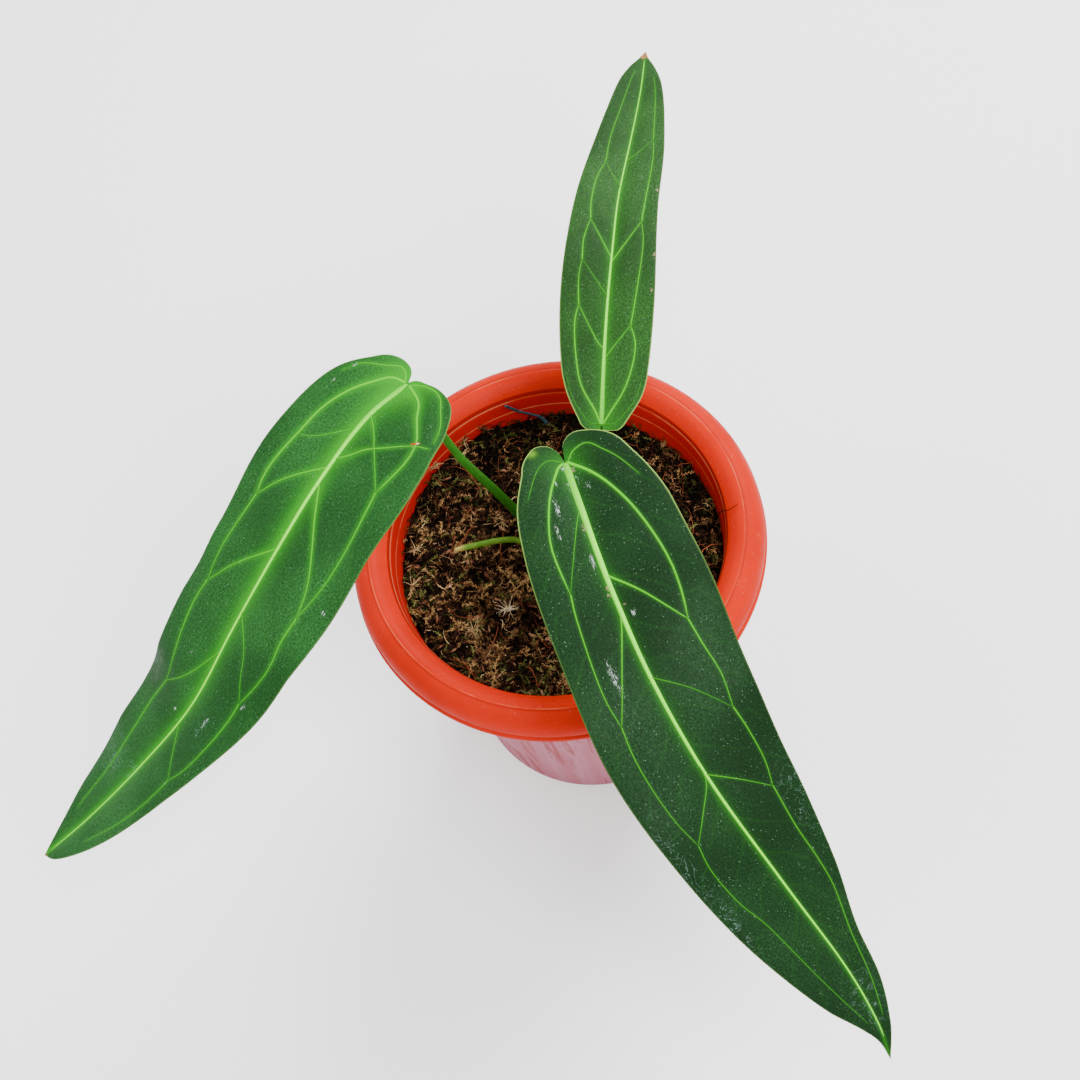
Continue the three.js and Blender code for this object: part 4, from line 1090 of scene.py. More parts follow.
def soil_height(x, y):
    """Height of the soil: a low mound round the crown with a raised edge, a bank of moss against one
    stretch of the wall, both bell-shaped, and hollows and lumps from crossed sine waves."""
    radius = np.hypot(x, y)
    mound = 1.6 * bell(radius / 30) + 1.4 * (radius / 70) ** 4
    bank = bell((np.arctan2(y, x) - BANK_HEADING) / BANK_SPREAD, (radius - 70) / 10)
    mound = mound + BANK_HEIGHT * bank
    lumps = 0.9 * np.sin(0.17 * x + 1.3) * np.cos(0.15 * y) + 0.7 * np.sin(0.33 * x - 0.27 * y)
    lumps = lumps + 0.8 * np.sin(0.71 * x + 2 * np.sin(0.31 * y)) * np.sin(0.63 * y + 1.5 * np.sin(0.37 * x))
    return SOIL_TOP - 1 + mound + lumps


def kept_inside(points):
    """Draws points that would cross the pot's wall back in front of it, straight towards the axis."""
    radius = np.hypot(points[..., 0], points[..., 1])
    limit = wall_inside(np.minimum(points[..., 2], WALL_TOP)) - WALL_GAP
    inward = np.minimum(1, limit / np.maximum(radius, 1e-6))[..., None]
    return points * np.concatenate([inward, inward, np.ones_like(inward)], -1)


def scattered(random, count, farthest=69.0):
    """Random places on the soil, even over its area, clear of the crown."""
    radius = np.sqrt(random.uniform(0.012, 1, count)) * farthest
    heading = random.uniform(0, 2 * np.pi, count)
    x, y = radius * np.cos(heading), radius * np.sin(heading)
    return x, y, soil_height(x, y)


def medium_plug():
    """The plug of medium: its top is the soil's height plus fine lumps, out to the wall, and its side
    follows the wall down to the floor."""
    top = np.linspace(0.01, 1, 76)[:, None]
    a = np.linspace(0, 2 * np.pi, PLUG_COLUMNS, endpoint=False)[None, :]
    r = top * (wall_inside(SOIL_TOP) - WALL_GAP)
    x, y = r * np.cos(a), r * np.sin(a)
    crumbs = 1.0 * np.sin(1.1 * x + 2 * np.sin(0.6 * y)) * np.sin(1.2 * y + 2 * np.sin(0.7 * x))
    crumbs = crumbs + 0.5 * np.sin(2.9 * x + 1.7 * y) * np.sin(2.3 * y - 1.9 * x)
    z = soil_height(x, y) - 2.2 + crumbs * np.minimum(1, (1 - top) * 12)
    surface = np.stack([x, y, z], -1)
    depth = np.linspace(SOIL_TOP - 4, FLOOR_TOP + 0.4, 6)[:, None]
    out = wall_inside(depth) - WALL_GAP
    side = np.stack([out * np.cos(a), out * np.sin(a), depth + np.zeros_like(a)], -1)
    bottom = side[-1:] * np.array([0.0002, 0.0002, 1])
    rows = np.concatenate([surface, side, bottom])[::-1]
    return rows.reshape(-1, 3), grid_faces(len(rows), PLUG_COLUMNS, close=True)


def bent_fibres(random, count, rings, length, lift, thick):
    """Routes of loose fibres: a parabola through three points near the soil, its middle lifted and swung
    aside, with a small wriggle, and radii that taper to both ends."""
    x, y, z = scattered(random, count)
    half = random.uniform(*length, count) / 2
    heading = random.uniform(0, 2 * np.pi, count)
    run = np.stack([np.cos(heading), np.sin(heading), random.uniform(-0.25, 0.25, count)], -1)
    run = run * half[:, None]
    aside = np.stack([-np.sin(heading), np.cos(heading), np.zeros(count)], -1)
    bow = aside * (half * random.uniform(-0.45, 0.45, count))[:, None]
    t = np.linspace(-1, 1, rings)[None, :, None]
    centre = np.stack([x, y, z + random.uniform(*lift, count)], -1)[:, None]
    drop = UP * (random.uniform(-0.5, 2.6, count)[:, None, None] * t**2)
    wriggle = random.normal(0, 0.24, (count, rings, 3)) * np.array([1, 1, 0.6])
    routes = centre + run[:, None] * t + bow[:, None] * (1 - t**2) - drop + wriggle
    radii = random.uniform(*thick, count)[:, None] * (1 - 0.55 * t[..., 0] ** 2)
    return kept_inside(routes), radii


def star_fibres(random, count, centre, length, thick):
    """Stiff straws that leave one spot to all sides. Each runs straight out, and bends aside and droops with
    the square of its share of the way."""
    heading = random.uniform(0, 2 * np.pi, count)
    rise = random.uniform(0.05, 0.9, count)
    reach = random.uniform(*length, count)[:, None]
    out = np.stack([np.cos(heading), np.sin(heading), rise], -1) * reach
    bend = random.normal(0, 0.3, (count, 3)) * reach
    t = np.linspace(0, 1, 6)[None, :, None]
    start = np.array([*centre, soil_height(*centre) + 1.2]) + random.normal(0, 0.5, (count, 1, 3))
    routes = start + out[:, None] * t + (bend[:, None] - np.array([0, 0, 1.2])) * t**2
    radii = random.uniform(*thick, count)[:, None] * (1 - 0.6 * t[..., 0])
    return kept_inside(routes), radii


def shaded_and_damp_by_height(points, faces, layers):
    """Tints shifted by height: bits that stand proud are dry and pale, and those low between them are
    darker, partly as damp and partly as painted shade.
    """
    above = points[:, 2] - soil_height(points[:, 0], points[:, 1])
    return points, faces, {"tint": layers["tint"] + 0.3 * np.clip(above / 1.7, -1, 1) - 0.06}


def fibre_mesh(random, routes, radii, sides, tints=(0, 1)):
    """Tubes round the routes, each with a random tint, more of them dark than pale."""
    points, faces, _ = round_tubes(routes, radii, sides, away=(0.2, 0.1, 0.97))
    each = len(points) // len(routes)
    return points, faces, {"tint": np.repeat(random.uniform(*tints, len(routes)) ** 1.3, each)}


def mossy(x, y):
    """Share of living moss among the sprigs: more by the wall and in round clumps, and little elsewhere."""
    ring = 0.32 * np.clip((np.hypot(x, y) - 52) / 14, 0, 1)
    clumps = sum(0.65 * bell((x - a) / 9, (y - b) / 9) for a, b in MOSS_CLUMPS)
    return np.clip(0.12 + ring + clumps, 0, 1)


def sprig_mesh(random, places, length, leaflets, leaf_length):
    """Moss sprigs: a low curved stem with pointed leaflets round it, set along it by the golden angle. A
    leaflet is a slim closed pyramid: two root corners, one more under them, and a tip."""
    x, y, z = places
    count = len(x)
    heading = random.uniform(0, 2 * np.pi, count)
    out = np.stack([np.cos(heading), np.sin(heading), np.zeros(count)], -1)[:, None]
    aside = np.cross(UP, out)
    reach = random.uniform(*length, count)[:, None, None]
    rise = random.uniform(-0.05, 0.6, (count, 1, 1)) * reach
    bend = random.normal(0, 0.4, (count, 1, 1)) * reach
    foot = np.stack([x, y, z - random.uniform(0.2, 2.0, count)], -1)[:, None]

    def along(t):
        """The stem at a share of its length: out and up on parabolas, and aside with the share's square."""
        return foot + out * reach * t * (1 - 0.2 * t) + aside * bend * t**2 + UP * rise * t * (1.7 - t)

    t = np.linspace(0, 1, 5)[None, :, None]
    stem = round_tubes(kept_inside(along(t)), np.linspace(0.26, 0.12, 5)[None] + np.zeros((count, 1)), 3)
    k = np.linspace(0.08, 1.0, leaflets)[None, :, None]
    turn = (np.arange(leaflets) * GOLDEN_ANGLE)[None, :, None] + random.uniform(0, 6, (count, 1, 1))
    root = along(k)
    forward = unit(along(k + 0.05) - root)
    spin = np.cos(turn) * unit(np.cross(forward, UP)) + np.sin(turn) * (0.75 * UP)
    point_out = unit(spin + random.uniform(0.4, 1.1, (count, 1, 1)) * forward)
    size = random.uniform(*leaf_length, (count, leaflets))[..., None] * (1.1 - 0.45 * k)
    wide = unit(np.cross(point_out, UP + 0.01)) * 0.3 * size**0.5
    corners = np.stack([root - wide, root + wide, root - UP * 0.2, root + point_out * size], axis=2)
    corners = kept_inside(corners.reshape(-1, 3))
    pyramid = np.array([[0, 1, 3], [1, 2, 3], [2, 0, 3], [0, 2, 1]])
    faces = repeated(pyramid, count * leaflets, 4)
    tint = random.uniform(0, 1, count)
    stems = (*stem[:2], {"tint": np.repeat(tint * 0.6, len(stem[0]) // count)})
    leaves = (corners, faces, {"tint": np.repeat(tint, 4 * leaflets)})
    return joined([stems, leaves])


def chip_mesh(random, count, size, lift):
    """Bark chips and crumbs: blocks of 4 rings of 6 points, wider in the middle, with every point moved at
    random, each turned and squashed its own way."""
    a = np.linspace(0, 2 * np.pi, 6, endpoint=False)
    t = np.array([-1, -0.35, 0.4, 1])[None, :, None]
    swell = np.array([0.45, 1.0, 0.95, 0.35])[None, :, None]
    x, y, z = scattered(random, count, 67.0)
    length = random.uniform(*size, (count, 1, 1))
    wide = length * random.uniform(0.14, 0.5, (count, 1, 1))
    thick = length * random.uniform(0.05, 0.2, (count, 1, 1))
    local = np.empty((count, 4, 6, 3))
    local[..., 0] = length * t
    local[..., 1] = wide * swell * np.cos(a)
    local[..., 2] = thick * swell * np.sin(a)
    local *= random.uniform(0.72, 1.28, local.shape)
    heading, pitch = random.uniform(0, 2 * np.pi, count), random.normal(0, 0.4, count)
    c, s = np.cos(heading), np.sin(heading)
    cp, sp = np.cos(pitch), np.sin(pitch)
    turn = np.stack([np.stack([c * cp, -s, c * sp], -1), np.stack([s * cp, c, s * sp], -1),
                     np.stack([-sp, np.zeros(count), cp], -1)], axis=1)
    centre = np.stack([x, y, z + random.uniform(*lift, count)], -1)[:, None, None]
    walls = np.einsum("nij,nabj->nabi", turn, local) + centre
    ends = walls[:, [0, -1]].mean(axis=2)
    points = np.concatenate([walls.reshape(count, -1, 3), ends], axis=1)
    ring, end = np.arange(6), np.full(6, 24)
    after = (ring + 1) % 6
    near = np.stack([end, after, ring], -1)
    far = np.stack([end + 1, 18 + ring, 18 + after], -1)
    faces = np.concatenate([grid_faces(4, 6, close=True), near, far])
    tint = np.repeat(random.uniform(0, 1, count), 26)
    return kept_inside(points.reshape(-1, 3)), repeated(faces, count, 26), {"tint": tint}


# The leaves

def margin_rows(surface, side):
    """The margin of one side, row by row, as (start on the midrib, margin q, margin w). Rows fan out round
    the stalk over the lobe and then march along the midrib to the tip."""
    lobe = surface.leaf["right_lobe" if side > 0 else "left_lobe"]
    angle = np.linspace(lobe[0][0], 90, FAN_ROWS, endpoint=False)
    reach = through(lobe, angle)
    count = int(surface.length / ROW_STEP)
    q = np.linspace(0, surface.length, count)
    start = np.concatenate([np.zeros(FAN_ROWS), q])
    edge_q = np.concatenate([-reach * np.cos(np.radians(angle)), q])
    edge_w = np.concatenate([reach * np.sin(np.radians(angle)), surface.half_width(q, side)])
    return start, edge_q, edge_w


def blade_layers(surface, name, q, w, side, margin):
    """The values that the blade's finish reads at each point: its place, how near it is to veins and
    margin, and the masks of marks. Nearness falls off in a bell shape with the distance in mm. Gives also
    how deep the valleys along the veins are."""
    flat_q, flat_w = q.ravel(), w.ravel()
    nothing = np.zeros(len(flat_q))
    halo, valley, faint = np.zeros((3, len(flat_q)))
    for width, strength, route_q, route_w in surface.vein_routes(side, 24):
        gap, along = distance_to(flat_q, flat_w, route_q, route_w)
        fade = 1 - 0.35 * along
        flare = 1 + 1.4 * np.exp(-6 * along) * (route_w[0] < 2)
        reach = HALO_REACH[name] * (0.35 + 0.45 * width) * fade * flare
        halo = np.maximum(halo, 0.8 * strength**1.6 * fade * bell(gap / reach))
        valley = np.maximum(valley, strength * bell(gap / 3.0))
    for route_q, route_w in surface.faint_routes(side):
        gap, along = distance_to(flat_q, flat_w, route_q, route_w)
        faint = np.maximum(faint, (1 - 0.5 * along) * bell(gap / 0.45))
    share = np.clip(flat_q / surface.length, 0, 1)
    gap = np.hypot(flat_w, np.minimum(flat_q, 0))
    near, wide_share, wide, base_share, base = RIB_HALO[name]
    near = near * (1.25 if side > 0 else 0.85) * (1 - 0.6 * share)
    beside = wide_share * (1 - 0.75 * share) * bell(gap / (wide * (1 - 0.4 * share)))
    foot = base_share * bell(np.hypot(flat_q, flat_w) / base)
    halo = np.maximum(halo, bell(gap / near))
    halo = 1 - (1 - halo) * (1 - beside) * (1 - foot)
    valley = np.maximum(valley, bell(gap / 3.5))
    edge = 0.12 + EDGE_GLOW[name] * bell(flat_q / 40)
    edge = edge * np.clip(1 - margin.ravel() / 0.55, 0, 1)
    layers = {"leaf_place": np.stack([flat_q, side * flat_w, nothing], -1), "halo": halo, "vein": nothing,
              "rib": nothing, "faint": faint, "edge": edge, "under": nothing}
    for mark in MARK_KINDS:
        layers[mark] = mark_mask(surface, MARKS[name].get(mark, []), flat_q, side * flat_w)
    layers["dry"] = dry_mask(surface, name, flat_q)
    return layers, valley.reshape(q.shape)


def underside(layers):
    """The same values for the lower face, without the marks of the upper one."""
    below = dict(layers)
    below["leaf_place"] = layers["leaf_place"] + UNDER_SHIFT * UP
    below["under"] = np.ones(len(layers["under"]))
    for mark in MARK_KINDS:
        below[mark] = np.zeros(len(layers["under"]))
    return below


def mark_mask(surface, marks, q, across):
    """Soft spots where marks show, each an oval bell: (share of the length, mm across, reach along, reach
    across)."""
    mask = np.zeros(len(q))
    for share, out, long, wide in marks:
        mask = np.maximum(mask, bell((q - share * surface.length) / long, (across - out) / wide))
    return mask


def dry_mask(surface, name, q):
    """How dry the blade is towards its tip: 0 up to the place where it starts, then rising evenly to 1.2."""
    first = DRY_FROM[name] * surface.length
    return np.clip((q - first) / (surface.length - first), 0, 2) * 1.2


def share_left(margin):
    """Share of the blade's thickness that is left near the margin, down to a half there."""
    return 1 - 0.5 * np.exp(-margin / 1.2)


def skin_offset(q, w, side, leaves, valley, margin):
    """How far the upper face stands off the middle surface: half the thickness, thinner at the margin,
    less the valley at the veins, with shallow dents."""
    across = side * w
    dents = 0.07 * np.sin(q / 6.1 + across / 4.7) * np.sin(q / 9.3 - across / 3.9)
    dents = dents * np.minimum(margin / 6, 1)
    valleys = leaves.quilt * valley * np.minimum(margin / 5, 1)
    return leaves.thickness / 2 * share_left(margin) - valleys + dents


def half_blade(surface, name, side, leaves):
    """One half of a blade: a row of points runs from the midrib to each point of the margin. The upper face
    and the lower one are closed along the margin and along the row at the lobe's inner edge."""
    start, edge_q, edge_w = margin_rows(surface, side)
    count = int(max(surface.half_width(np.linspace(0, surface.length, 50), side)) / COLUMN_STEP)
    columns = np.concatenate([np.linspace(0, 0.965, count), [0.978, 0.99, 1.0]])
    q = start[:, None] + (edge_q - start)[:, None] * columns
    w = edge_w[:, None] * columns
    margin = np.hypot(edge_w, edge_q - start)[:, None] * (1 - columns)
    point, normal = surface.place(q, w, side)
    upper, valley = blade_layers(surface, name, q, w, side, margin)
    lower = underside(upper)
    off = skin_offset(q, w, side, leaves, valley, margin)[..., None]
    top = point + normal * off
    bottom = top - normal * (leaves.thickness * share_left(margin)[..., None])
    rows, wide = q.shape
    faces = grid_faces(rows, wide)[:, ::-1]
    size = rows * wide
    edge = np.arange(rows - 1) * wide + wide - 1
    first = np.arange(wide - 1)
    every = [faces, faces[:, ::-1] + size, *hem(edge, edge + wide, size), *hem(first, first + 1, size)]
    every = np.concatenate(every)[:, ::side]
    layers = {key: np.concatenate([upper[key], lower[key]]) for key in upper}
    return np.concatenate([top.reshape(-1, 3), bottom.reshape(-1, 3)]), every, layers


def hem(near, far, under):
    """Triangles that join a row of edges of the upper face, from near to far, to those right under them."""
    return [np.stack([near, far, far + under], -1), np.stack([near, far + under, near + under], -1)]


def vein_skin(surface, q, w, side, leaves, valley):
    """Points and normals of the upper face along a vein, in its own valley."""
    point, normal = surface.place(q, w, side)
    margin = np.maximum(surface.half_width(np.maximum(q, 0), side) - w, 0)
    off = skin_offset(q, w, side, leaves, valley, margin)
    return point + normal * off[..., None], normal


def vein_ribs(surface, side, leaves, under):
    """Low ridges along the veins of one side: an oval section is carried along each route, half sunk in the
    face, and narrows to a little over half its width."""
    width, strength, q, w = zip(*surface.vein_routes(side, VEIN_RINGS))
    q, w = np.stack(q), np.abs(np.stack(w)) + 0.02
    width, strength = np.array(width)[:, None], np.array(strength)[:, None]
    point, normal = vein_skin(surface, q, w, side, leaves, strength + np.zeros_like(q))
    share = np.linspace(0, 1, VEIN_RINGS)[None]
    width = width * np.linspace(1, 0.55, VEIN_RINGS)[None] * np.minimum(1, 12 * (1.03 - share))
    strength = strength * (1 - 0.25 * share)
    if under:
        point = point - normal * leaves.thickness
    wide, high = (0.75, 0.5) if under else (0.42, 0.16)
    tangent = unit(np.gradient(point, axis=1))
    across = unit(np.cross(normal, tangent))
    up = np.cross(tangent, across)
    points, faces, _ = swept(point, across, up, width * wide, width * high, VEIN_SIDES)
    count = len(points)
    place = [on_tubes(q), on_tubes(side * w), np.full(count, UNDER_SHIFT * under)]
    layers = {"leaf_place": np.stack(place, -1), "halo": np.ones(count), "vein": on_tubes(strength),
              "rib": np.zeros(count), "under": np.full(count, 0.6 * under)}
    return points, faces, plain_marks(layers, count)


def on_tubes(values):
    """Values of (veins, rings) at each point of the veins' tubes: ring by ring, then the two end points."""
    walls = np.repeat(values, VEIN_SIDES, axis=1)
    return np.concatenate([walls, values[:, :1], values[:, -1:]], axis=1).ravel()


def plain_marks(layers, count):
    """Adds the layers of marks and edges with nothing in them."""
    for mark in (*MARK_KINDS, "dry", "faint", "edge"):
        layers[mark] = np.zeros(count)
    return layers


def midrib_rib(surface, name, leaves, under):
    """The midrib's ridge: an oval section carried along the midrib, as a narrow pale crest above or as a
    stout round keel below, tapering to the tip. One side of the section carries a painted highlight."""
    q = np.linspace(-0.5, surface.length - 0.3, RIB_RINGS)
    share = np.clip(q / surface.length, 0, 1)
    point, normal = surface.place(np.maximum(q, 0), np.zeros_like(q), 1)
    depth = np.full(RIB_RINGS, leaves.thickness / 2 - leaves.quilt)
    fade = np.minimum(1, 14 * (1.01 - share)) * np.clip(0.45 + q / 7, 0.3, 1)
    if under:
        wide, high = 1.9 * (1 - 0.75 * share) * fade, 1.3 * (1 - 0.75 * share) * fade
        depth = depth - leaves.thickness - 0.6 * high
    else:
        wide = RIB_WIDE[name] * (0.6 * np.exp(-share / 0.16) + 0.52 * (1 - 0.72 * share)) * fade
        high = 0.5 * (1 - 0.7 * share) * fade
    point = point + normal * depth[:, None]
    tangent = unit(np.gradient(point, axis=0))
    across = unit(np.cross(normal, tangent))
    up = np.cross(tangent, across)
    points, faces, _ = swept(point[None], across[None], up[None], wide[None], high[None], RIB_SIDES)
    count = len(points)
    along = np.concatenate([np.repeat(q, RIB_SIDES), [q[0], q[-1]]])
    # Painted highlight: a bright streak round one side of the section, as if lit from there, weaker near the
    # stalk
    lean = np.sin(np.linspace(0, 2 * np.pi, RIB_SIDES, endpoint=False) + 0.35)
    ridge = np.clip(lean, 0, 1) ** 1.6
    crest = np.concatenate([np.tile(ridge, RIB_RINGS) * np.clip(0.35 + along[:-2] / 60, 0, 1), [0, 0]])
    layers = {"leaf_place": np.stack([along, np.zeros(count), np.full(count, UNDER_SHIFT * under)], -1),
              "halo": np.ones(count), "vein": np.full(count, 0.75), "rib": crest,
              "under": np.full(count, 0.5 * under)}
    layers = plain_marks(layers, count)
    layers["dry"] = dry_mask(surface, name, along)
    if not under:
        layers["scab"] = mark_mask(surface, MARKS[name].get("scab", []), along, np.full(count, 0.8))
    return points, faces, layers


def stalk_route(name, surface):
    """The stalk's route, from the crown to the keel under the blade."""
    point, normal = surface.place(0.0, 0.0, 1)
    return [*STALKS[name], tuple(point - normal * KEEL_DEPTH)]


# Operators

class AnthuriumBuildPot(bpy.types.Operator):
    """Turn the pot's shell from its outline and cut its drain holes"""
    bl_idname = "anthurium.build_pot"
    bl_label = "Pot"

    def execute(self, context):
        pot = context.scene.anthurium_pot
        shell = welded(*turned(pot_outline(), pot.segments), {})
        piece = put_mesh("pot_shell", *shell, pot_material(pot), ["pot"], "pot_plastic")
        cut_through(piece, drain_cutters())
        return {"FINISHED"}


class AnthuriumBuildMedium(bpy.types.Operator):
    """Fill the pot with the growing medium and cover it with chips, fibres and moss"""
    bl_idname = "anthurium.build_medium"
    bl_label = "Growing medium"

    def execute(self, context):
        medium = context.scene.anthurium_medium
        random = np.random.default_rng(medium.seed)
        litter = {name: litter_material(name, *recipe) for name, recipe in LITTER.items()}

        def lay(name, bits, kind):
            """One piece of the medium, in one kind of litter."""
            put_mesh(name, *bits, litter[kind], ["growing_medium"], "growing_medium")

        points, faces, _ = welded(*medium_plug(), {})
        lay("medium_plug", (points, faces, {"tint": np.full(len(points), 0.4)}), "damp_crumbs")
        chips = chip_mesh(random, medium.chips, size=(0.4, 2.1), lift=(-0.9, 0.7))
        lay("bark_chips", shaded_and_damp_by_height(*chips), "bark")
        fibres = bent_fibres(random, medium.fibres, rings=7, length=(2.5, 9), lift=(-1.0, 1.6),
                             thick=(0.08, 0.26))
        loose = fibre_mesh(random, *fibres, sides=3, tints=(0, 0.78))
        star = star_fibres(random, STAR_STRAWS, STAR_SPRIG, length=(1.0, 4.8), thick=(0.1, 0.24))
        star = fibre_mesh(random, *star, sides=3, tints=(0.2, 1.2))
        tufts = []
        for centre in STRAW_TUFTS:
            tuft = star_fibres(random, TUFT_STRAWS, centre, length=(1.4, 5.0), thick=(0.1, 0.26))
            tufts.append(fibre_mesh(random, *tuft, sides=3, tints=(0.6, 1.0)))
        points, faces, _ = one_tube(TWIG, TWIG_RADII, 24, 6)
        twig = (points, faces, {"tint": np.full(len(points), 0.1)})
        lay("dry_fibres", joined([shaded_and_damp_by_height(*loose), *tufts, twig]), "dry_fibre")
        fibres = bent_fibres(random, RUSTY_FIBRES, rings=14, length=(6, 22), lift=(0.4, 2.0),
                             thick=(0.1, 0.2))
        lay("rusty_fibres", fibre_mesh(random, *fibres, sides=4), "rusty_fibre")
        places = np.stack(scattered(random, medium.sprigs))
        living = mossy(places[0], places[1]) > random.uniform(0, 1, medium.sprigs)
        green = sprig_mesh(random, places[:, living], length=(3, 7), leaflets=11, leaf_length=(0.9, 1.9))
        lay("moss_sprigs", shaded_and_damp_by_height(*green), "living_moss")
        brown = sprig_mesh(random, places[:, ~living], length=(2.5, 8), leaflets=11, leaf_length=(0.9, 2.5))
        lay("dried_sprigs", shaded_and_damp_by_height(*brown), "dried_moss")
        grains = chip_mesh(random, medium.grains, size=(0.15, 0.45), lift=(0.6, 1.8))
        lay("pale_grains", joined([grains, star]), "pale_grains")
        return {"FINISHED"}


class AnthuriumBuildLeaves(bpy.types.Operator):
    """Lay the three blades over their midribs, with raised veins on both faces"""
    bl_idname = "anthurium.build_leaves"
    bl_label = "Leaves"

    def execute(self, context):
        leaves = context.scene.anthurium_leaves
        # Each blade's colour is partly its own tone and partly painted light and shade: brighter for the lit
        # left leaf, darker for the shaded front leaf
        finishes = {"front": ("velvet_dark", leaves.dark, 0.42, "leaf_blade_dark"),
                    "left": ("velvet_bright", leaves.bright, 1.0, "leaf_blade"),
                    "back": ("velvet_middling", leaves.middling, 0.5, "leaf_blade")}
        for name, leaf in LEAVES.items():
            label, base, halo, slot = finishes[name]
            material = blade_material(label, leaves, base, halo, MARKS[name].get("slit"))
            surface = LeafSurface(leaf)
            halves = [half_blade(surface, name, side, leaves) for side in (1, -1)]
            blade = welded(*joined(halves))
            ribs = [vein_ribs(surface, side, leaves, under) for side in (1, -1) for under in (0, 1)]
            ribs += [midrib_rib(surface, name, leaves, under) for under in (0, 1)]
            put_mesh("blade_" + name, *blade, material, ["leaf_" + name], slot)
            put_mesh("veins_" + name, *joined(ribs), material, ["leaf_" + name], slot)
        return {"FINISHED"}


class AnthuriumBuildStalks(bpy.types.Operator):
    """Carry the three stalks from the crown up to the keels of the blades"""
    bl_idname = "anthurium.build_stalks"
    bl_label = "Stalks"

    def execute(self, context):
        material = stalk_material(context.scene.anthurium_leaves)
        for name, leaf in LEAVES.items():
            route = stalk_route(name, LeafSurface(leaf))
            points, faces, share = one_tube(route, STALK_RADII, 120, 24, (1, 0.3, 0), SHEATH_SHARE)
            put_mesh("stalk_" + name, points, faces, {"share": share}, material, ["petiole_" + name],
                     "petiole_skin")
        return {"FINISHED"}


class AnthuriumBuildCrown(bpy.types.Operator):
    """Turn the ringed stock of the stem, wrap the sheaths of the stalks round it and grow the main roots"""
    bl_idname = "anthurium.build_crown"
    bl_label = "Stem and roots"

    def execute(self, context):
        height = np.linspace(STEM_FOOT, STEM_TOP - 3, 60)
        rings = STEM_RADIUS - 0.6 + 0.6 * np.abs(np.sin(height * 0.55))
        outline = [(0.01, STEM_FOOT), *zip(rings, height), (STEM_RADIUS - 2.5, STEM_TOP), (0.01, STEM_TOP)]
        points, faces = turned(outline, 48)
        points = points + np.array([CROWN[0], CROWN[1], 0])
        parts = [(points, faces, {})]
        for name, leaf in LEAVES.items():
            route = smooth_route(stalk_route(name, LeafSurface(leaf)), 200)[:SHEATH_RINGS]
            radii = through(STALK_RADII, np.linspace(0, SHEATH_SHARE, SHEATH_RINGS)) + SHEATH_THICK
            parts.append((*round_tubes(route[None], radii[None], 24, (1, 0.3, 0))[:2], {}))
        for heading, reach, low in ROOTS:
            parts.append((*root_tube(np.radians(heading), reach, low), {}))
        put_mesh("stem_and_roots", *joined(parts), stock_material(), ["stem"], "stem_bark")
        return {"FINISHED"}


def root_tube(heading, reach, low):
    """A main root: out of the stock, nearly level for a short way, then down and outwards, tapering."""
    top = SOIL_TOP - 18 - reach / 4
    steps = [(2, top, 0.0), (14, top - 4, 0.1), (reach * 0.7, (top + low) / 2, -0.1), (reach, low, 0.1)]
    route = [(CROWN[0] + out * np.cos(heading + swing), CROWN[1] + out * np.sin(heading + swing), z)
             for out, z, swing in steps]
    points, faces, _ = one_tube(route, [(0, 2.4), (1, 1.3)], 30, 12, (0.1, 0.2, 0.97))
    return points, faces


class AnthuriumBuildAerialRoot(bpy.types.Operator):
    """Lay the aerial root over the soil, out to its pale tip"""
    bl_idname = "anthurium.build_aerial_root"
    bl_label = "Aerial root"

    def execute(self, context):
        points, faces, share = one_tube(AERIAL_ROOT, AERIAL_ROOT_RADII, 90, 20, (0, 0, 1))
        put_mesh("green_root", points, faces, {"share": share}, root_material(), ["aerial_root"],
                 "root_skin")
        return {"FINISHED"}


class AnthuriumBuildTie(bpy.types.Operator):
    """Bend the flat plastic tie between the wall and the soil"""
    bl_idname = "anthurium.build_tie"
    bl_label = "Plant tie"

    def execute(self, context):
        route = smooth_route(TIE, 50)[None]
        tangent = unit(np.gradient(route, axis=1))
        side = unit(np.cross(tangent, (0.0, 1.0, 0.35)))
        wide, thick = np.full((1, 50), 0.95), np.full((1, 50), 0.35)
        points, faces, _ = swept(route, side, np.cross(tangent, side), wide, thick, 16)
        put_mesh("flat_tie", points, faces, {}, tie_material(), ["plant_tie"], "tie_plastic")
        return {"FINISHED"}


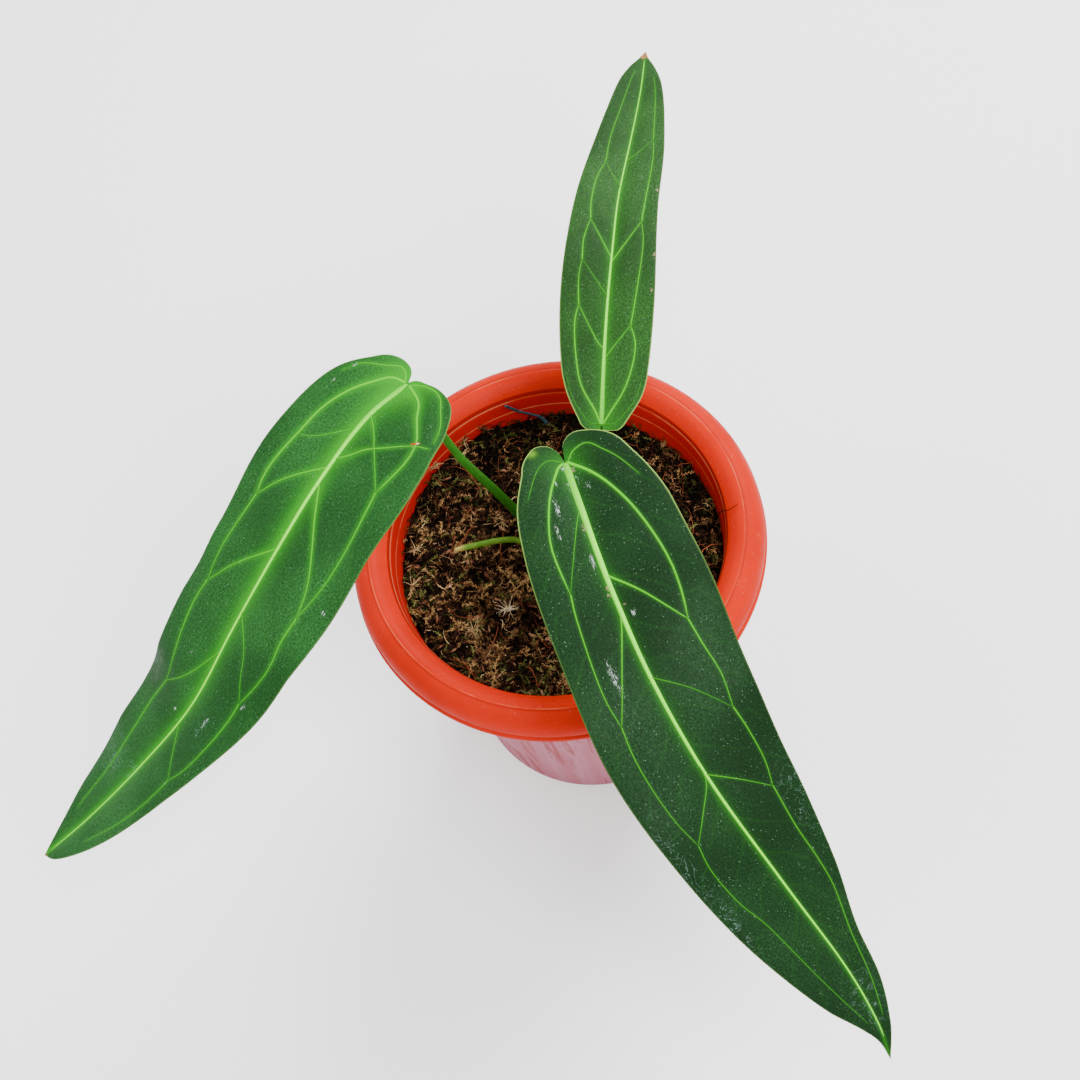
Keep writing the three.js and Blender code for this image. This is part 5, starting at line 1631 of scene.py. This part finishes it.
class AnthuriumBuildStage(bpy.types.Operator):
    """Set the floor, the soft studio lights and the camera"""
    bl_idname = "anthurium.build_stage"
    bl_label = "Stage"

    def execute(self, context):
        scene = context.scene
        mesh = bpy.data.meshes.new("floor")
        half = FLOOR_WIDTH / 2
        corners = [(-half, -half, 0), (half, -half, 0), (half, half, 0), (-half, half, 0)]
        mesh.from_pydata(corners, [], [(0, 1, 2, 3)])
        mesh.materials.append(floor_material())
        floor = bpy.data.objects.new("floor", mesh)
        scene.collection.objects.link(floor)
        world = bpy.data.worlds.new("soft_white")
        world.use_nodes = True
        sky = world.node_tree.nodes["Background"].inputs
        sky["Color"].default_value = (1, 1, 1, 1)
        sky["Strength"].default_value = SKY_STRENGTH
        scene.world = world
        for name, place, size, power in LIGHTS:
            self.area_light(scene, name, place, size, power)
        self.camera(scene, scene.anthurium_camera)
        return {"FINISHED"}

    def area_light(self, scene, name, place, size, power):
        """A square soft light that faces the top of the pot."""
        data = bpy.data.lights.new(name, "AREA")
        data.size = size
        data.energy = power
        light = bpy.data.objects.new(name, data)
        aim = np.array([0, 0, POT_HEIGHT * MM]) - np.array(place)
        light.matrix_world = look_matrix(place, aim)
        scene.collection.objects.link(light)

    def camera(self, scene, view):
        """A camera at the given distance and tilt whose picture has the rim's centre at its given place."""
        down, roll = view.look_down, view.roll
        back = np.array([0, -np.cos(down), np.sin(down)])
        right = np.array([1.0, 0, 0])
        up = np.cross(right, -back)
        turned_right = np.cos(roll) * right + np.sin(roll) * up
        turned_up = -np.sin(roll) * right + np.cos(roll) * up
        middle = view.frame_px / 2
        aim = unit(np.array([(view.rim_px[0] - middle), -(view.rim_px[1] - middle), view.focal_px]))
        across = unit(np.array([1.0, 0, 0]) - aim * aim[0])
        body = np.stack([across, np.cross(aim, across), aim])
        axes = np.stack([turned_right, turned_up, -back]).T @ body
        place = np.array([0, 0, POT_HEIGHT * MM]) + back * view.distance
        data = bpy.data.cameras.new("camera")
        data.sensor_width = SENSOR_WIDTH
        data.lens = data.sensor_width * view.focal_px / view.frame_px
        data.clip_start = 0.01
        camera = bpy.data.objects.new("camera", data)
        matrix = np.eye(4)
        matrix[:3, :3] = np.stack([axes[:, 0], axes[:, 1], -axes[:, 2]], -1)
        matrix[:3, 3] = place
        camera.matrix_world = Matrix(matrix.tolist())
        scene.collection.objects.link(camera)
        scene.camera = camera


def look_matrix(place, aim):
    """The matrix of an object at a place whose -Z axis points along aim."""
    back = -unit(np.asarray(aim, float))
    right = unit(np.cross([0.0, 0.0, 1.0], back))
    matrix = np.eye(4)
    matrix[:3, :3] = np.stack([right, np.cross(back, right), back], -1)
    matrix[:3, 3] = place
    return Matrix(matrix.tolist())


class AnthuriumPanel(bpy.types.Panel):
    """Lists the operators and the settings"""
    bl_idname = "VIEW3D_PT_anthurium"
    bl_label = "Potted Anthurium"
    bl_space_type = "VIEW_3D"
    bl_region_type = "UI"
    bl_category = "Anthurium"

    def draw(self, context):
        layout = self.layout
        for operator in OPERATORS:
            layout.operator(operator.bl_idname)
        for settings in SETTINGS:
            group = getattr(context.scene, settings)
            box = layout.box()
            for name in group.__annotations__:
                box.prop(group, name)


OPERATORS = (AnthuriumBuildPot, AnthuriumBuildMedium, AnthuriumBuildLeaves, AnthuriumBuildStalks,
             AnthuriumBuildCrown, AnthuriumBuildAerialRoot, AnthuriumBuildTie, AnthuriumBuildStage)
SETTINGS = {"anthurium_camera": AnthuriumCamera, "anthurium_pot": AnthuriumPot,
            "anthurium_leaves": AnthuriumLeaves, "anthurium_medium": AnthuriumMedium}


def register():
    for each in (*SETTINGS.values(), *OPERATORS, AnthuriumPanel):
        bpy.utils.register_class(each)
    for name, group in SETTINGS.items():
        setattr(bpy.types.Scene, name, PointerProperty(type=group))


def unregister():
    for name in SETTINGS:
        delattr(bpy.types.Scene, name)
    for each in reversed((*SETTINGS.values(), *OPERATORS, AnthuriumPanel)):
        bpy.utils.unregister_class(each)


def main():
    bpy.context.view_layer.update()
    register()
    for operator in OPERATORS:
        group, name = operator.bl_idname.split(".")
        getattr(getattr(bpy.ops, group), name)()
    bpy.context.view_layer.update()


if __name__ == "__main__":
    main()
